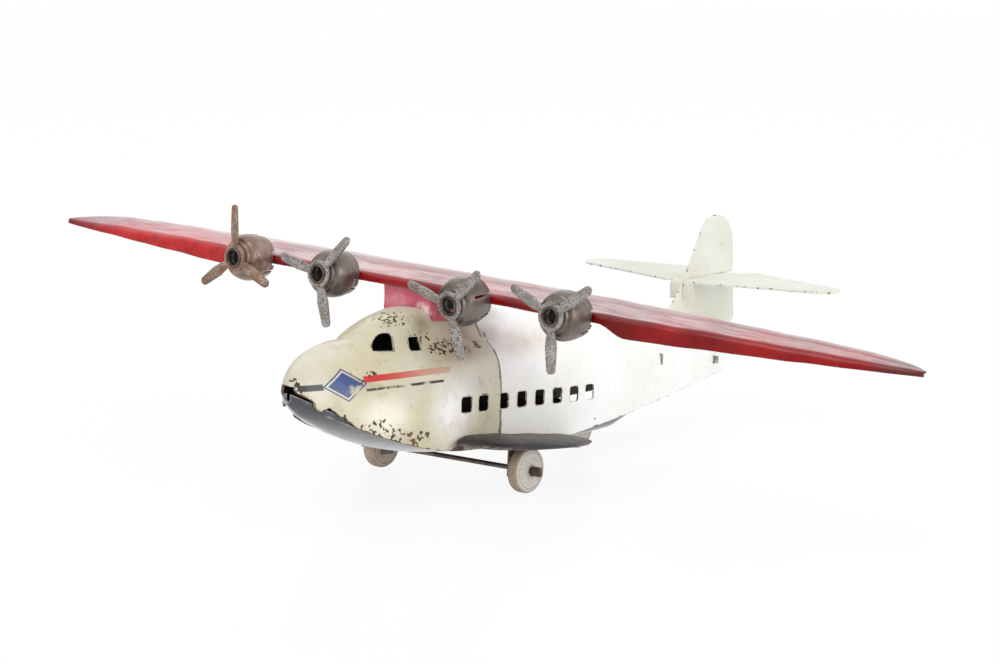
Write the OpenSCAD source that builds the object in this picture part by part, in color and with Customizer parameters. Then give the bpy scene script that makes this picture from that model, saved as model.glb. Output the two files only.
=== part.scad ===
/* [Stance] */
// Diameter of the turned wooden wheels
wheel_d = 13.5; // [12:0.1:14]
// Width of a wheel along its axle
wheel_w = 4; // [3:0.1:5]
// Distance between the middles of the two front wheels
track = 59; // [57:0.5:62]
// Place of the front axle along the toy, behind its middle when positive
front_axle_y = -38.5; // [-42:0.5:-34]
// Place of the rear axle pin along the toy
rear_axle_y = 23.2; // [20:0.2:26]
// How far the nose is raised on the wheels, in degrees
nose_up = 4.5; // [3.5:0.1:5.5]
// Diameter of the front axle wire
axle_d = 1.5; // [1.2:0.1:1.8]
// Length of the flattened wire outside each front wheel
axle_end_l = 3.2; // [2:0.1:4]
// Height of the flattened wire ends
axle_end_h = 2.7; // [2:0.1:3]
// Radial running clearance of a wheel on its wire
wheel_play = 0.08; // [0.05:0.01:0.1]
// How far the starboard wheel has slid inwards on its wire
wheel_slide = 2.1; // [0:0.1:2.2]

/* [Sheet] */
// Thickness of the pressed steel of the shells
sheet = 0.6; // [0.5:0.05:0.8]
// Gap between sheets that are laid over each other
lap_gap = 0.1; // [0.05:0.01:0.2]

/* [Fuselage] */
// Foremost point of the bow
bow_y = -111.7; // [-115:0.5:-108]
// Rear end of the tail
stern_y = 100; // [98:0.5:103]
// Full width over the side walls amidships
beam = 40; // [37:0.5:41]
// Full width of the tail end
tail_w = 4.4; // [3:0.1:6]
// Height of the side walls' lower edge amidships
chine_h = 9.6; // [9:0.1:10.5]
// Rise of the lower edge to the bow
bow_rise = 16.5; // [14:0.5:18]
// Rise of the lower edge to the tail
tail_rise = 13.4; // [11:0.1:15]
// Height of the deck beside the cabin
deck_h = 41; // [39:0.5:42]
// Height of the cabin roof above the deck
cabin_rise = 8.1; // [7:0.1:9.6]
// Full width of the cabin at its foot
cabin_w = 25.6; // [24:0.2:28]
// Front of the cockpit dome
dome_y = -88; // [-92:0.5:-87]
// Seam where the front shell laps over the rear shell
seam_y = -41.3; // [-42.3:0.1:-40.5]
// Length of the lap at the seam
lap = 4; // [3:0.5:6]
// Depth of the keel below the lower edge
keel_depth = 2.4; // [2:0.1:3]
// Rear end of the hull bottom
hull_end_y = 31.5; // [30:0.5:34]

/* [Windows] */
// Number of cabin windows on each side of the rear shell
windows = 6; // [4:1:6]
// Distance from one cabin window to the next in the rear shell
window_pitch = 8.5; // [7:0.1:8.6]
// Place of the rearmost cabin window
window_last_y = 3.6; // [2:0.1:5]
// Number of cabin windows on each side of the front shell
front_windows = 2; // [1:1:3]
// Distance from one cabin window to the next in the front shell
front_window_pitch = 7.3; // [7:0.1:8.6]
// Place of the rearmost cabin window in the front shell
front_window_y = -49; // [-50:0.1:-48]
// Length of a cabin window
window_l = 4.6; // [3.5:0.1:5]
// Height of a cabin window
window_t = 4.8; // [4:0.1:5.5]
// Height of the middle of the cabin windows
window_z = 23; // [21:0.5:25]
// Place of the rear cockpit window
rear_pane_y = -70; // [-71.5:0.1:-69]
// Height of the middle of the rear cockpit window
rear_pane_z = 40.4; // [39:0.1:42]
// Radius of the round corner of the front cockpit window
front_pane_r = 5; // [4.4:0.1:5.2]
// How far the cockpit windows lean back for each unit of height
pane_slant = 0.2; // [0:0.05:0.5]

/* [Wing] */
// Wing span from tip to tip
span = 330; // [310:1:345]
// Height of the top of the wing at its leading edge
wing_z = 57.9; // [57:0.1:59]
// Lean of the wing, port tip low, in degrees
wing_lean = 2.7; // [0:0.1:3]
// Place of the leading edge at the middle
lead_y = -61.2; // [-62:0.1:-60]
// Chord of the wing at the middle
chord = 29; // [26:0.1:31]
// Chord of the wing at the tips
tip_chord = 1.6; // [1.2:0.1:3]
// Sweep of the leading edge from the outer engines to the tips
sweep = 14.6; // [12:0.2:17]
// Depth of the turned-down front edge between the engines
flange = 2.9; // [2.4:0.1:3.2]
// Depth of the turned-down front edge outside the engines
outer_flange = 5.9; // [4:0.1:6]
// Height of the wing's curved top above its edges
camber = 2.3; // [1:0.1:3]
// Droop of the wing tips outside the outer engines
tip_droop = 1.8; // [0:0.1:3]

/* [Engines] */
// Distance of the inner engines from the middle
inner_x = 25.5; // [25:0.1:27]
// Distance of the outer engines from the middle
outer_x = 61.5; // [58:0.1:64]
// Distance of the outer propellers ahead of the leading edge
reach_ahead = 10.2; // [9.5:0.1:11.5]
// How much further forward the inner propellers stand
inner_ahead = 1; // [0:0.1:2]
// Height of the engine axes below the top of the leading edge
engine_drop = 1.7; // [1.2:0.1:2.2]
// Nose-down bend of the inner port engine, in degrees
bent_engine = 10; // [0:0.5:11]
// Largest diameter of a cowl
cowl_d = 14.4; // [13.5:0.1:15]
// Length of a cowl
cowl_l = 12; // [11:0.1:13]
// Thickness of the cowl metal
cowl_sheet = 0.5; // [0.4:0.05:0.6]
// Radius of a propeller from its axis to the blade tips
prop_r = 16; // [14:0.1:16.3]
// Greatest width of a propeller blade
blade_w = 3.4; // [2.8:0.1:3.6]
// Width of a blade where it leaves the hub
blade_root_w = 2; // [1.6:0.1:2.2]
// Width of a blade's rounded tip
blade_tip_w = 2.6; // [2:0.1:2.8]
// Thickness of the propeller metal
prop_sheet = 0.8; // [0.6:0.05:1]
// Pitch of the blades, in degrees: the lowest blade's front turns to port
blade_pitch = 15; // [0:1:16]
// Outside diameter of the propeller's hub ring
hub_d = 8.4; // [7.6:0.1:9]
// Outside diameter of the eyelet that carries a propeller
eyelet_d = 5; // [4.6:0.1:5.4]
// Bore of the eyelet
eyelet_bore = 4.2; // [3.6:0.1:4.4]
// Radial running clearance of a propeller on its eyelet
prop_play = 0.08; // [0.05:0.01:0.1]

/* [Tail] */
// Height of the middle of the stabilizer
stabilizer_z = 54.5; // [53:0.1:56]
// Tilt of the stabilizer, front edge low, in degrees
stabilizer_tilt = 4.2; // [0:0.1:5]
// Lean of the stabilizer, port tip low, in degrees
stabilizer_lean = 1; // [0:0.1:1.5]
// Span of the stabilizer
stabilizer_span = 101; // [96:1:110]
// Chord of the stabilizer at the fin
stabilizer_chord = 29; // [26:0.5:31]
// Height of the top of the fin
fin_top_z = 75.3; // [72:0.1:78]
// Radius of the rounded top of the fin
fin_r = 9.7; // [8:0.1:10]

/* [Hidden] */
$fn = 64;

cream = [0.91, 0.88, 0.76];
red = [0.72, 0.12, 0.13];
black = [0.16, 0.17, 0.19];
steel = [0.48, 0.45, 0.43];
rust = [0.45, 0.3, 0.22];
wood = [0.82, 0.76, 0.66];

wheel_r = wheel_d / 2;
engine_z = wing_z - engine_drop;
cowl_gap = 0.35;

// Where the toy's own level frame meets the table's: the nose is raised, and the origin lies midway
// between the foremost and the rearmost point.
torn_h = 3.6;
foremost = [bow_y + 0.2, chine_h + bow_rise + torn_h];
stabilizer_front = stern_y - 26;
stabilizer_back = stabilizer_front + stabilizer_chord;
lobe_l = 3;
stabilizer_middle = [(stabilizer_front + stabilizer_back) / 2, stabilizer_z];
rearmost = stabilizer_middle + (stabilizer_chord / 2 + lobe_l) * [cos(stabilizer_tilt), sin(stabilizer_tilt)];
middle_y = ((foremost[0] + rearmost[0]) * cos(nose_up) + (foremost[1] + rearmost[1]) * sin(nose_up)) / 2;
module sit() { translate([0, -middle_y, 0]) rotate([-nose_up, 0, 0]) children(); }

// The wing and what it carries lean about the middle of its leading edge.
module lean() { translate([0, 0, wing_z]) rotate([0, wing_lean, 0]) translate([0, 0, -wing_z]) children(); }
module leaned() { sit() lean() children(); }

// Height in the toy's frame of a point that is given above the table.
function above_table(y, z) = y * sin(nose_up) + z * cos(nose_up);
function along_toy(y, z) = y * cos(nose_up) - z * sin(nose_up);

function clamp(v) = min(1, max(0, v));
function mirrored(half) = concat(half, [for (i = [len(half) - 2 : -1 : 0]) [-half[i][0], half[i][1]]]);
function flat(rows) = [for (row = rows) for (p = row) p];
function unit(v) = v / max(norm(v), 1e-6);

// An outline moved sideways by d, to the right of its direction.
function inset(line, d) = [for (i = [0 : len(line) - 1])
    let (v = unit(line[min(i + 1, len(line) - 1)] - line[max(i - 1, 0)])) line[i] + d * [v[1], -v[0]]];

// Closed sheet metal between two grids with as many points, closed in front on a tip where tips are given.
module sheet_between(outer, inner, tips = []) {
    rows = len(outer);
    cols = len(outer[0]);
    all = rows * cols;
    function at(side, i, j) = side * all + i * cols + j;
    function strip(a, b, c, d) = [[a, b, c], [a, c, d]];
    skins = [for (i = [0 : rows - 2]) for (j = [0 : cols - 2]) each concat(
        strip(at(0, i, j), at(0, i, j + 1), at(0, i + 1, j + 1), at(0, i + 1, j)),
        strip(at(1, i, j), at(1, i + 1, j), at(1, i + 1, j + 1), at(1, i, j + 1)))];
    sides = [for (i = [0 : rows - 2]) each concat(
        strip(at(0, i, 0), at(0, i + 1, 0), at(1, i + 1, 0), at(1, i, 0)),
        strip(at(0, i, cols - 1), at(1, i, cols - 1), at(1, i + 1, cols - 1), at(0, i + 1, cols - 1)))];
    last = [for (j = [0 : cols - 2])
        each strip(at(0, rows - 1, j), at(0, rows - 1, j + 1), at(1, rows - 1, j + 1), at(1, rows - 1, j))];
    first = [for (j = [0 : cols - 2])
        each strip(at(0, 0, j), at(1, 0, j), at(1, 0, j + 1), at(0, 0, j + 1))];
    cap = concat(
        [for (j = [0 : cols - 2]) [2 * all, at(0, 0, j + 1), at(0, 0, j)]],
        [for (j = [0 : cols - 2]) [2 * all + 1, at(1, 0, j), at(1, 0, j + 1)]],
        strip(2 * all, at(0, 0, 0), at(1, 0, 0), 2 * all + 1),
        strip(2 * all, 2 * all + 1, at(1, 0, cols - 1), at(0, 0, cols - 1)));
    polyhedron(points = concat(flat(outer), flat(inner), tips),
        faces = concat(skins, sides, last, len(tips) > 0 ? cap : first));
}

// Lines of the fuselage along the toy.
fore_y = -58;
wide_y = -48;
taper_y = -15;
roof_y = -25;
function fore(y) = clamp((fore_y - y) / (fore_y - bow_y));
function aft(y) = clamp((y - taper_y) / (stern_y - taper_y));
function chine(y) = chine_h + bow_rise * pow(fore(y), 1.75)
    + tail_rise * pow(aft(y), 1.17) * (1.3 - 0.3 * aft(y));
function side(y) = beam / 2 * pow(1 - pow(clamp((wide_y - y) / (wide_y - bow_y)), 2), 0.75)
    - (beam - tail_w) / 2 * pow(aft(y), 1.7);
function deck(y) = chine_h + bow_rise
    + (deck_h - chine_h - bow_rise) * pow(1 - pow(clamp((-85 - y) / (-85 - bow_y)), 2), 0.4) - 3.5 * aft(y);
function dome(y, l, n, m) = pow(1 - pow(1 - clamp((y - dome_y) / l), n), m);
function roof(y) = deck_h + cabin_rise * dome(y, 26, 1.55, 0.97)
    - (cabin_rise + 1.8) * pow(clamp((y - roof_y) / (stern_y - roof_y)), 1.1);
function cabin_side(y) = min(cabin_w / 2 * dome(y, 27.5, 1.9, 0.35), side(y) * 0.85);
cabin_roundness = 3.2;
function roundness(y) = 4.5 - 2.7 * (1 - pow(1 - fore(y), 3)) - 1.3 * aft(y);

// Distance to a rounded rectangle's edge from the middle of its base.
function reach(angle, w, h, n) = 1 / pow(pow(cos(angle) / w, n) + pow(sin(angle) / h, n), 1 / n);
function shell_reach(angle, y) = let (
        hull = reach(angle, side(y), deck(y) - chine(y), roundness(y)),
        cabin = y <= dome_y ? 0.01 :
            reach(angle, max(0.01, cabin_side(y)), roof(y) - chine(y), cabin_roundness))
    pow(pow(hull, 32) + pow(cabin, 32), 1 / 32);
half_steps = 18;
function half_ring(y) = [for (i = [0 : half_steps])
    let (angle = 90 * (1 - pow(1 - i / half_steps, 1.5)), r = shell_reach(angle, y))
        [r * cos(angle), chine(y) + r * sin(angle)]];
function ring(y, d) = inset(mirrored(half_ring(y)), d);
function placed(line, y) = [for (p = line) [p[0], y, p[1]]];

module fuselage_form(stations, out, closed) {
    sheet_between([for (y = stations) placed(ring(y, out), y)],
        [for (y = stations) let (in_y = y + (closed ? sheet * pow(fore(y), 6) : 0))
            placed(ring(y, out - sheet), in_y)],
        closed ? [[0, bow_y, chine(bow_y)], [0, bow_y + sheet, chine(bow_y)]] : []);
}

// A window outline with rounded corners, as points around it.
function rounded(l, h, r) = [for (k = [0 : 3]) for (a = [0 : 22.5 : 90])
    let (t = k * 90 + a) [(k == 0 || k == 3 ? 1 : -1) * (l / 2 - r) + r * cos(t),
        (k < 2 ? 1 : -1) * (h / 2 - r) + r * sin(t)]];

// What a prism along X takes from both side walls.
module through_sides(y, z) {
    translate([0, y, z]) rotate([90, 0, 90]) linear_extrude(beam + 20, center = true) children();
}
module cabin_windows(count, last_y, pitch) {
    for (i = [0 : count - 1])
        through_sides(last_y - i * pitch, window_z) polygon(rounded(window_l, window_t, 1));
}
// The cockpit windows: one with four corners, and one in front that is a quarter of a circle and a strip.
function slanted(points) = [for (p = points) [p[0] + pane_slant * p[1], p[1]]];
pane_strip = 1.6;
module cockpit_windows() {
    through_sides(rear_pane_y, rear_pane_z) polygon(slanted(rounded(4, 4, 0.8)));
    through_sides(rear_pane_y - front_pane_r - 4.1, rear_pane_z - 1.9) polygon(slanted(concat(
        [for (a = [90 : 15 : 180]) front_pane_r * [cos(a), sin(a)]],
        [[pane_strip, 0], [pane_strip, front_pane_r]])));
}

// Where the bow's lower edge is torn away.
module torn_bow() {
    through_sides(bow_y + 0.8, chine(bow_y)) polygon([[-2, torn_h], [1.1, 3], [1.6, 1.2], [5.5, -1.3],
        [5.6, -2.7], [7, -3.9], [9.5, -2.5], [12.4, -5.2], [13, -5.4], [13.3, -4.6], [16.3, -8],
        [16.3, -10], [-2, -10]]);
}

module fuselage_front() {
    count = 30;
    color(cream) sit() difference() {
        fuselage_form([for (i = [1 : count]) bow_y + (seam_y - bow_y) * pow(i / count, 1.6)],
            sheet + lap_gap, true);
        cabin_windows(front_windows, front_window_y, front_window_pitch);
        cockpit_windows();
        torn_bow();
    }
}

module fuselage_rear() {
    count = 18;
    color(cream) sit() difference() {
        fuselage_form([for (i = [0 : count]) seam_y - lap + (stern_y - seam_y + lap) * i / count], 0, false);
        cabin_windows(windows, window_last_y, window_pitch);
        fin_slot();
        tie_slots();
    }
}

// The hull bottom is a trough whose edges stand up inside the shells.
flange_up = 1.8;
keel_swell = 1.3;
function keel_drop(y) = (keel_depth + keel_swell * clamp(y / 20)) * pow(clamp((y - bow_y) / 7), 0.5)
    * pow(clamp((hull_end_y + 0.4 - y) / 10), 0.5);
function trough_w(y) = side(y) - sheet - 2 * lap_gap;
function fullness(y) = 1.6 + 1.4 * clamp((y + 60) / 30) + 9 * clamp((y + 20) / 25);
function trough_z(y, t) = chine(y) - keel_drop(y) * (1 - pow(t, fullness(y)));
function trough(y) = mirrored(concat([[trough_w(y), chine(y) + flange_up]],
    [for (i = [0 : 9]) let (t = 1 - i / 9) [trough_w(y) * t, trough_z(y, t)]]));

module hull_bottom() {
    count = 26;
    stations = [for (i = [1 : count]) bow_y + 1.2 + (hull_end_y - bow_y - 1.2) * pow(i / count, 1.35)];
    color(black) sit() difference() {
        sheet_between([for (y = stations) placed(trough(y), y)],
            [for (y = stations) placed(inset(trough(y), sheet), y + sheet * pow(fore(y), 6))]);
        translate([0, along_toy(rear_axle_y, wheel_r), 0])
            cube([wheel_w + 1.6, wheel_d + 2.4, 40], center = true);
    }
}

// Stub wings at the waterline, domed and open below.
sponson_y = -33.7;
sponson_l = 54;
sponson_w = 16.6;
sponson_z = 10.5;
sponson_rise = 1.9;
sponson_pitch = 1.8;
root_x = beam / 2 + sheet + lap_gap + 0.15;
function sponson_point(u, v, d) = let (
        half = (sponson_l / 2 - d) * pow(1 - pow(u, 2.8), 0.42), r = min(1, u * u + v * v * (1 - u * u)))
    [root_x + (sponson_w - d) * u, sponson_y + half * v,
        sponson_z + sheet - d + sponson_rise * (1 - 0.55 * v) * pow(max(0, 1 - pow(r, 3)), 0.5)];
module sponson() {
    rows = [for (i = [1 : 9]) cos(i * 10)];
    steps = 7;
    translate([0, sponson_y, sponson_z]) rotate([-sponson_pitch, 0, 0]) translate([0, -sponson_y, -sponson_z])
        sheet_between([for (u = rows) [for (j = [-steps : steps]) sponson_point(u, sin(j * 90 / steps), 0)]],
            [for (u = rows) [for (j = [-steps : steps]) sponson_point(u, sin(j * 90 / steps), sheet)]],
            [sponson_point(1, 0, 0), sponson_point(1, 0, sheet)]);
}
// Height of a sponson's underside near its root.
function sponson_under(x, y) = let (u = (x - root_x) / sponson_w, v = (y - sponson_y) / (sponson_l / 2))
    sponson_point(u, v / pow(1 - pow(u, 2.8), 0.42), sheet)[2] - (y - sponson_y) * sin(sponson_pitch);
module sponson_port() { color(black) sit() sponson(); }
module sponson_starboard() { color(black) sit() mirror([1, 0, 0]) sponson(); }

// Plan and section of the wing at a distance from the middle.
half_span = span / 2;
trail_curve = 2.6;
tip_l = 36;
nose_r = 1.7;
tail_drop = 1;
step_l = 9;
function beyond(x, from) = clamp((x - from) / (half_span - from));
function lead(x) = lead_y + sweep * beyond(x, outer_x);
function trail(x) = lead_y + chord - trail_curve * pow(x / half_span, 2)
    - (chord - trail_curve - sweep - tip_chord) * pow(beyond(x, half_span - tip_l), 2.4);
function wing_l(x) = trail(x) - lead(x);
function droop(x) = tip_droop * pow(beyond(x, outer_x), 1.3);
function eased(t) = t * t * (3 - 2 * t);
function flange_at(x) = let (
        grown = flange + (outer_flange - flange) * eased(clamp((x - outer_x - cowl_d / 2) / step_l)))
    grown - (grown - 1.5) * pow(beyond(x, outer_x + 17), 1.3);
// Height of the wing's top at a share t of the way from the trailing edge to the nose.
function crown(x, t) = wing_z - droop(x) - 0.3 * tail_drop * (1 - t)
    + camber * wing_l(x) / chord * sin(180 * pow(t, 0.8));
function wing_section(x) = let (
        l = wing_l(x), r = min(nose_r, l / 3, flange_at(x) * 0.7), top = wing_z - droop(x))
    concat([[trail(x), top - tail_drop * (0.3 + 0.7 * l / chord)]],
        [for (i = [0 : 6]) [trail(x) - (l - r) * i / 6, crown(x, i / 6)]],
        [for (a = [22.5 : 22.5 : 90]) [lead(x) + r - r * sin(a), top - r + r * cos(a)]],
        [[lead(x), top - flange_at(x)]]);
function spanwise(line, x) = [for (p = line) [x, p[0], p[1]]];

module wing() {
    near = [for (t = [0 : 0.25 : 1]) outer_x * t];
    step = [for (t = [0 : 3]) outer_x + cowl_d / 2 + step_l * t / 3];
    from = step[3];
    far = [for (t = [1 : 5]) from + (half_span - tip_l - from) * t / 5];
    tip = [for (t = [0.3, 0.55, 0.75, 0.9, 1]) half_span - tip_l * (1 - t)];
    half = concat(near, step, far, tip);
    stations = concat([for (i = [len(half) - 1 : -1 : 1]) -half[i]], half);
    color(red) leaned() sheet_between([for (x = stations) spanwise(wing_section(abs(x)), x)],
        [for (x = stations) spanwise(inset(wing_section(abs(x)), -sheet), x)]);
}

// The strut box between the roof and the wing, open behind, with its edges folded in under the wing.
pylon_w = 20.4;
pylon_shift = -0.7;
pylon_front = lead_y + sheet + 0.3;
pylon_l = 16;
pylon_waist = 0.9;
fold_w = 3;
function roof_z(x, y) = let (a = [for (t = [90 : -0.5 : 0]) if (shell_reach(t, y) * cos(t) >= x) t][0])
    chine(y) + shell_reach(a, y) * sin(a) + sheet + lap_gap;
pylon_foot = roof_z(pylon_w / 2 - pylon_shift, pylon_front);
pylon_top = wing_z + 1;
function pylon_edge(z) = pylon_w / 2
    - pylon_waist * sin(180 * clamp((z - pylon_foot) / (pylon_top - pylon_foot)));
module pylon_walls() {
    steps = 8;
    low = pylon_foot - 1;
    zs = [for (i = [0 : steps]) low + (pylon_top + camber - low) * i / steps];
    for (s = [-1, 1]) translate([0, pylon_front + pylon_l, 0]) rotate([90, 0, 0])
        linear_extrude(pylon_l) polygon(concat([for (z = zs) [s * pylon_edge(z), z]],
            [for (i = [steps : -1 : 0]) [s * (pylon_edge(zs[i]) - sheet), zs[i]]]));
}
module pylon_face() {
    steps = 8;
    zs = [for (i = [0 : steps]) pylon_foot - 1 + (pylon_top + 1 - pylon_foot) * i / steps];
    translate([0, pylon_front + sheet, 0]) rotate([90, 0, 0]) linear_extrude(sheet)
        polygon(concat([for (z = zs) [pylon_edge(z), z]],
            [for (i = [steps : -1 : 0]) [-pylon_edge(zs[i]), zs[i]]]));
}
// The cabin roof, less a gap.
module below_roof() {
    translate([0, pylon_front + pylon_l + 1, 0]) rotate([90, 0, 0]) linear_extrude(pylon_l + 4)
        polygon(ring(pylon_front + pylon_l / 2, sheet + 2 * lap_gap));
}
// All that lies less than d below the wing's underside, or above it.
module above_underside(d) {
    line = inset(wing_section(0), -sheet - d);
    back = line[0];
    nose = line[len(line) - 1];
    clear = 10;
    lean() rotate([90, 0, 90]) linear_extrude(2 * pylon_w, center = true)
        polygon(concat(line, [[nose[0] - clear, nose[1]], [nose[0] - clear, wing_z + clear],
            [back[0] + clear, wing_z + clear], [back[0] + clear, back[1]]]));
}
module pylon_folds() {
    intersection() {
        above_underside(lap_gap + sheet);
        for (s = [-1, 1]) translate([s * (pylon_w - fold_w) / 2, pylon_front + pylon_l / 2, wing_z])
            cube([fold_w, pylon_l, 20], center = true);
    }
}
// A corner of the face torn loose and bent forward.
module torn_corner() {
    translate([7.8, pylon_front + sheet / 2, 0]) rotate([0, 0, -14]) rotate([90, 0, 0])
        linear_extrude(sheet, center = true) polygon([[-4.4, 52.6], [1.9, 51.5], [0.4, 46.3], [-3.7, 51.2]]);
}
module pylon() {
    color(red) sit() {
        difference() {
            translate([pylon_shift, 0, 0]) {
                pylon_walls();
                pylon_face();
                torn_corner();
                pylon_folds();
            }
            above_underside(lap_gap);
            below_roof();
        }
    }
}

// Fin, a flat sheet whose root goes down through the roof.
tail_sheet = 0.7;
slot_gap = 0.15;
fin_foot_z = 38.8;
fin_reach = 33;
fin_overhang = 6.4;
fin_root = 8;
fin_steps = [[1.5, 5], [5.5, 9.4], [9.8, 15.4]];
fin_lead_y = stern_y - fin_reach;
fin_tail_y = stern_y + fin_overhang;
fin_top_y = stern_y - fin_overhang;
halving_y = stern_y - 5.3;
module fin_outline() {
    polygon(concat([[fin_lead_y, fin_foot_z]], [for (p = fin_steps) [fin_lead_y, fin_foot_z] + p],
        [for (a = [160 : -10 : 10]) [fin_top_y + fin_r * cos(a), fin_top_z - fin_r + fin_r * sin(a)]],
        [[fin_tail_y, fin_foot_z + 1.5], [fin_tail_y - 1.5, fin_foot_z], [stern_y - 2, fin_foot_z],
        [stern_y - 2, fin_foot_z - fin_root], [fin_lead_y + 5, fin_foot_z - fin_root + 2]]));
}
module fin() {
    color(cream) sit() rotate([90, 0, 90]) linear_extrude(tail_sheet, center = true) difference() {
        fin_outline();
        translate(stabilizer_middle) rotate(stabilizer_tilt)
            translate([halving_y - stabilizer_middle[0], -tail_sheet / 2 - lap_gap])
                square([fin_tail_y - halving_y + 1, tail_sheet + 2 * lap_gap]);
    }
}
module fin_slot() {
    translate([0, (fin_lead_y + stern_y) / 2 + 0.4, fin_foot_z + 3])
        cube([tail_sheet + 2 * slot_gap, stern_y - fin_lead_y + 1.4, 2 * fin_root + 2], center = true);
}

// Stabilizer, slid over the fin from behind, with its front edge cut and folded down along both sides of it.
fold_l = 6.2;
fold_in = 3.8;
strip_w = 4.2;
module stabilizer_plan() {
    half = stabilizer_span / 2;
    tip_r = 5.5;
    tip_y = stabilizer_front + 17;
    module half_plan() {
        polygon(concat([[0, stabilizer_front], [4, stabilizer_front]],
            [for (a = [-70 : 20 : 90]) [half - tip_r + tip_r * cos(a), tip_y + tip_r * 1.15 * sin(a)]],
            [[9, stabilizer_back + lobe_l], [3, stabilizer_back - 2.5], [0, stabilizer_back - 2.5]]));
    }
    difference() {
        union() {
            half_plan();
            mirror([1, 0]) half_plan();
        }
        translate([-tail_sheet / 2 - slot_gap, stabilizer_front - 1])
            square([tail_sheet + 2 * slot_gap, halving_y + slot_gap - stabilizer_front + 1]);
        translate([-strip_w - tail_sheet / 2 - slot_gap, stabilizer_front - 1])
            square([2 * strip_w + tail_sheet + 2 * slot_gap, fold_in + 1]);
    }
}
// Section of a strip that curls down from a flat sheet, with the sheet's middle at the origin.
module curled(l) {
    r = 2;
    t = tail_sheet / 2;
    polygon(concat([for (a = [90 : -15 : 0]) [-(r + t) * cos(a), (r + t) * sin(a) - r]],
        [[-r - t, -l], [-r + t, -l]],
        [for (a = [0 : 15 : 90]) [-(r - t) * cos(a), (r - t) * sin(a) - r]]));
}
module stabilizer() {
    inner = tail_sheet / 2 + slot_gap;
    color(cream) sit() translate([0, stabilizer_middle[0], stabilizer_middle[1]])
        rotate([stabilizer_tilt, stabilizer_lean, 0]) translate([0, -stabilizer_middle[0], 0]) {
            linear_extrude(tail_sheet, center = true) stabilizer_plan();
            for (s = [-1, 1]) translate([s * (inner + strip_w / 2), stabilizer_front + fold_in + 0.1, 0])
                rotate([90, 0, 90]) linear_extrude(strip_w, center = true) curled(fold_l);
        }
}

// Sheet strips across the tail, with their ends in slots in its walls, the rear one's bent over outside.
tie_sheet = 0.5;
tie_front = [stern_y - 51.5, 30.2, 3.4];
tie_rear = [stern_y - 10, 27, 2.4];
function wall_x(y, z) = let (
        a = [for (t = [0 : 0.5 : 90]) if (shell_reach(t, y) * sin(t) >= z - chine(y)) t][0])
    shell_reach(a, y) * cos(a);
module tail_tie(at) {
    cube([2 * wall_x(at[0], at[1]) + 1.2, tie_sheet, at[2]], center = true);
}
module tie_ends(at) {
    bend = 1.9;
    for (s = [-1, 1]) translate([s * (wall_x(at[0], at[1]) + 0.55), (bend - tie_sheet) / 2, 0])
        cube([tie_sheet, bend, at[2]], center = true);
}
module tie_slots() {
    for (at = [tie_front, tie_rear]) translate([0, at[0], at[1]])
        cube([beam, tie_sheet + 2 * lap_gap, at[2] + 0.3], center = true);
}
module tail_tie_front() { color(steel) sit() translate([0, tie_front[0], tie_front[1]]) tail_tie(tie_front); }
module tail_tie_rear() {
    color(steel) sit() translate([0, tie_rear[0], tie_rear[1]]) {
        tail_tie(tie_rear);
        tie_ends(tie_rear);
    }
}

// Engines stand on the leading edge, each given by its distance from the middle to port, how far
// it stands ahead of the outer ones, its nose-down bend and the angle of its first blade.
outer_port = [outer_x, 0, 0, -83.4];
inner_port = [inner_x, inner_ahead, bent_engine, -75.7];
inner_starboard = [-inner_x, inner_ahead, 0, 47.8];
outer_starboard = [-outer_x, 0, 0, 96];
// The bent engine's cowl has split along its outer side, slit_turn degrees above its axis.
slit_turn = 20;
slit_w = 0.7;
bend_y = lead_y + 1;
module at_engine(e) {
    leaned() translate([e[0], bend_y, engine_z]) rotate([e[2], 0, 0])
        translate([0, lead_y - reach_ahead - e[1] - bend_y, 0]) children();
}
// Local frame of an engine: origin on its axis in the plane of the propeller, +Z to the rear.
module facing_back() { rotate([-90, 0, 0]) children(); }

cowl_front = prop_sheet / 2 + cowl_gap;
module cowl(e) {
    r = cowl_d / 2;
    w = cowl_sheet;
    f = cowl_front;
    hole = eyelet_d / 2 + 0.02;
    end = f + cowl_l - 1.5;
    notch_l = end - reach_ahead - e[1] + 0.3;
    facing_back() difference() {
        rotate_extrude() polygon([[hole, f], [4.6, f], [4.9, f + 0.9], [5.6, f + 0.9], [6.1, f + 1.3],
            [r - 0.5, f + 2.6], [r, f + 4.4], [r - 0.1, f + 7.4], [r - 0.6, f + 8.2], [r - 0.8, end],
            [r - 0.8 - w, end], [r - 0.6 - w, f + 8.2], [r - 0.1 - w, f + 7.2], [r - w, f + 4.4],
            [r - 0.5 - w, f + 2.9], [5.8, f + 1.7], [5.4, f + 0.9 + w], [4.5, f + 0.9 + w], [4.3, f + w],
            [hole, f + w]]);
        translate([0, flange / 2 - engine_drop, end])
            cube([cowl_d + 2, flange + 1.4, 2 * notch_l], center = true);
        for (a = [35, 145]) rotate([0, 0, a]) translate([r - 1, 0, end]) cube([4, 0.7, 9], center = true);
        if (e[2] > 0) rotate([0, 0, -slit_turn]) translate([r - 1, 0, end])
            cube([4, slit_w, 2 * (end - f - 3)], center = true);
    }
}
module eyelet() {
    r = eyelet_d / 2;
    lip = prop_sheet / 2 + 0.15;
    seat = cowl_front + cowl_sheet + 0.05;
    facing_back() rotate_extrude() polygon([[eyelet_bore / 2, -lip - 0.3], [r + 0.35, -lip - 0.3],
        [r + 0.5, -lip - 0.15], [r + 0.35, -lip], [r, -lip], [r, seat], [r + 0.7, seat],
        [r + 0.7, seat + 0.35], [eyelet_bore / 2, seat + 0.35]]);
}
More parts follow.
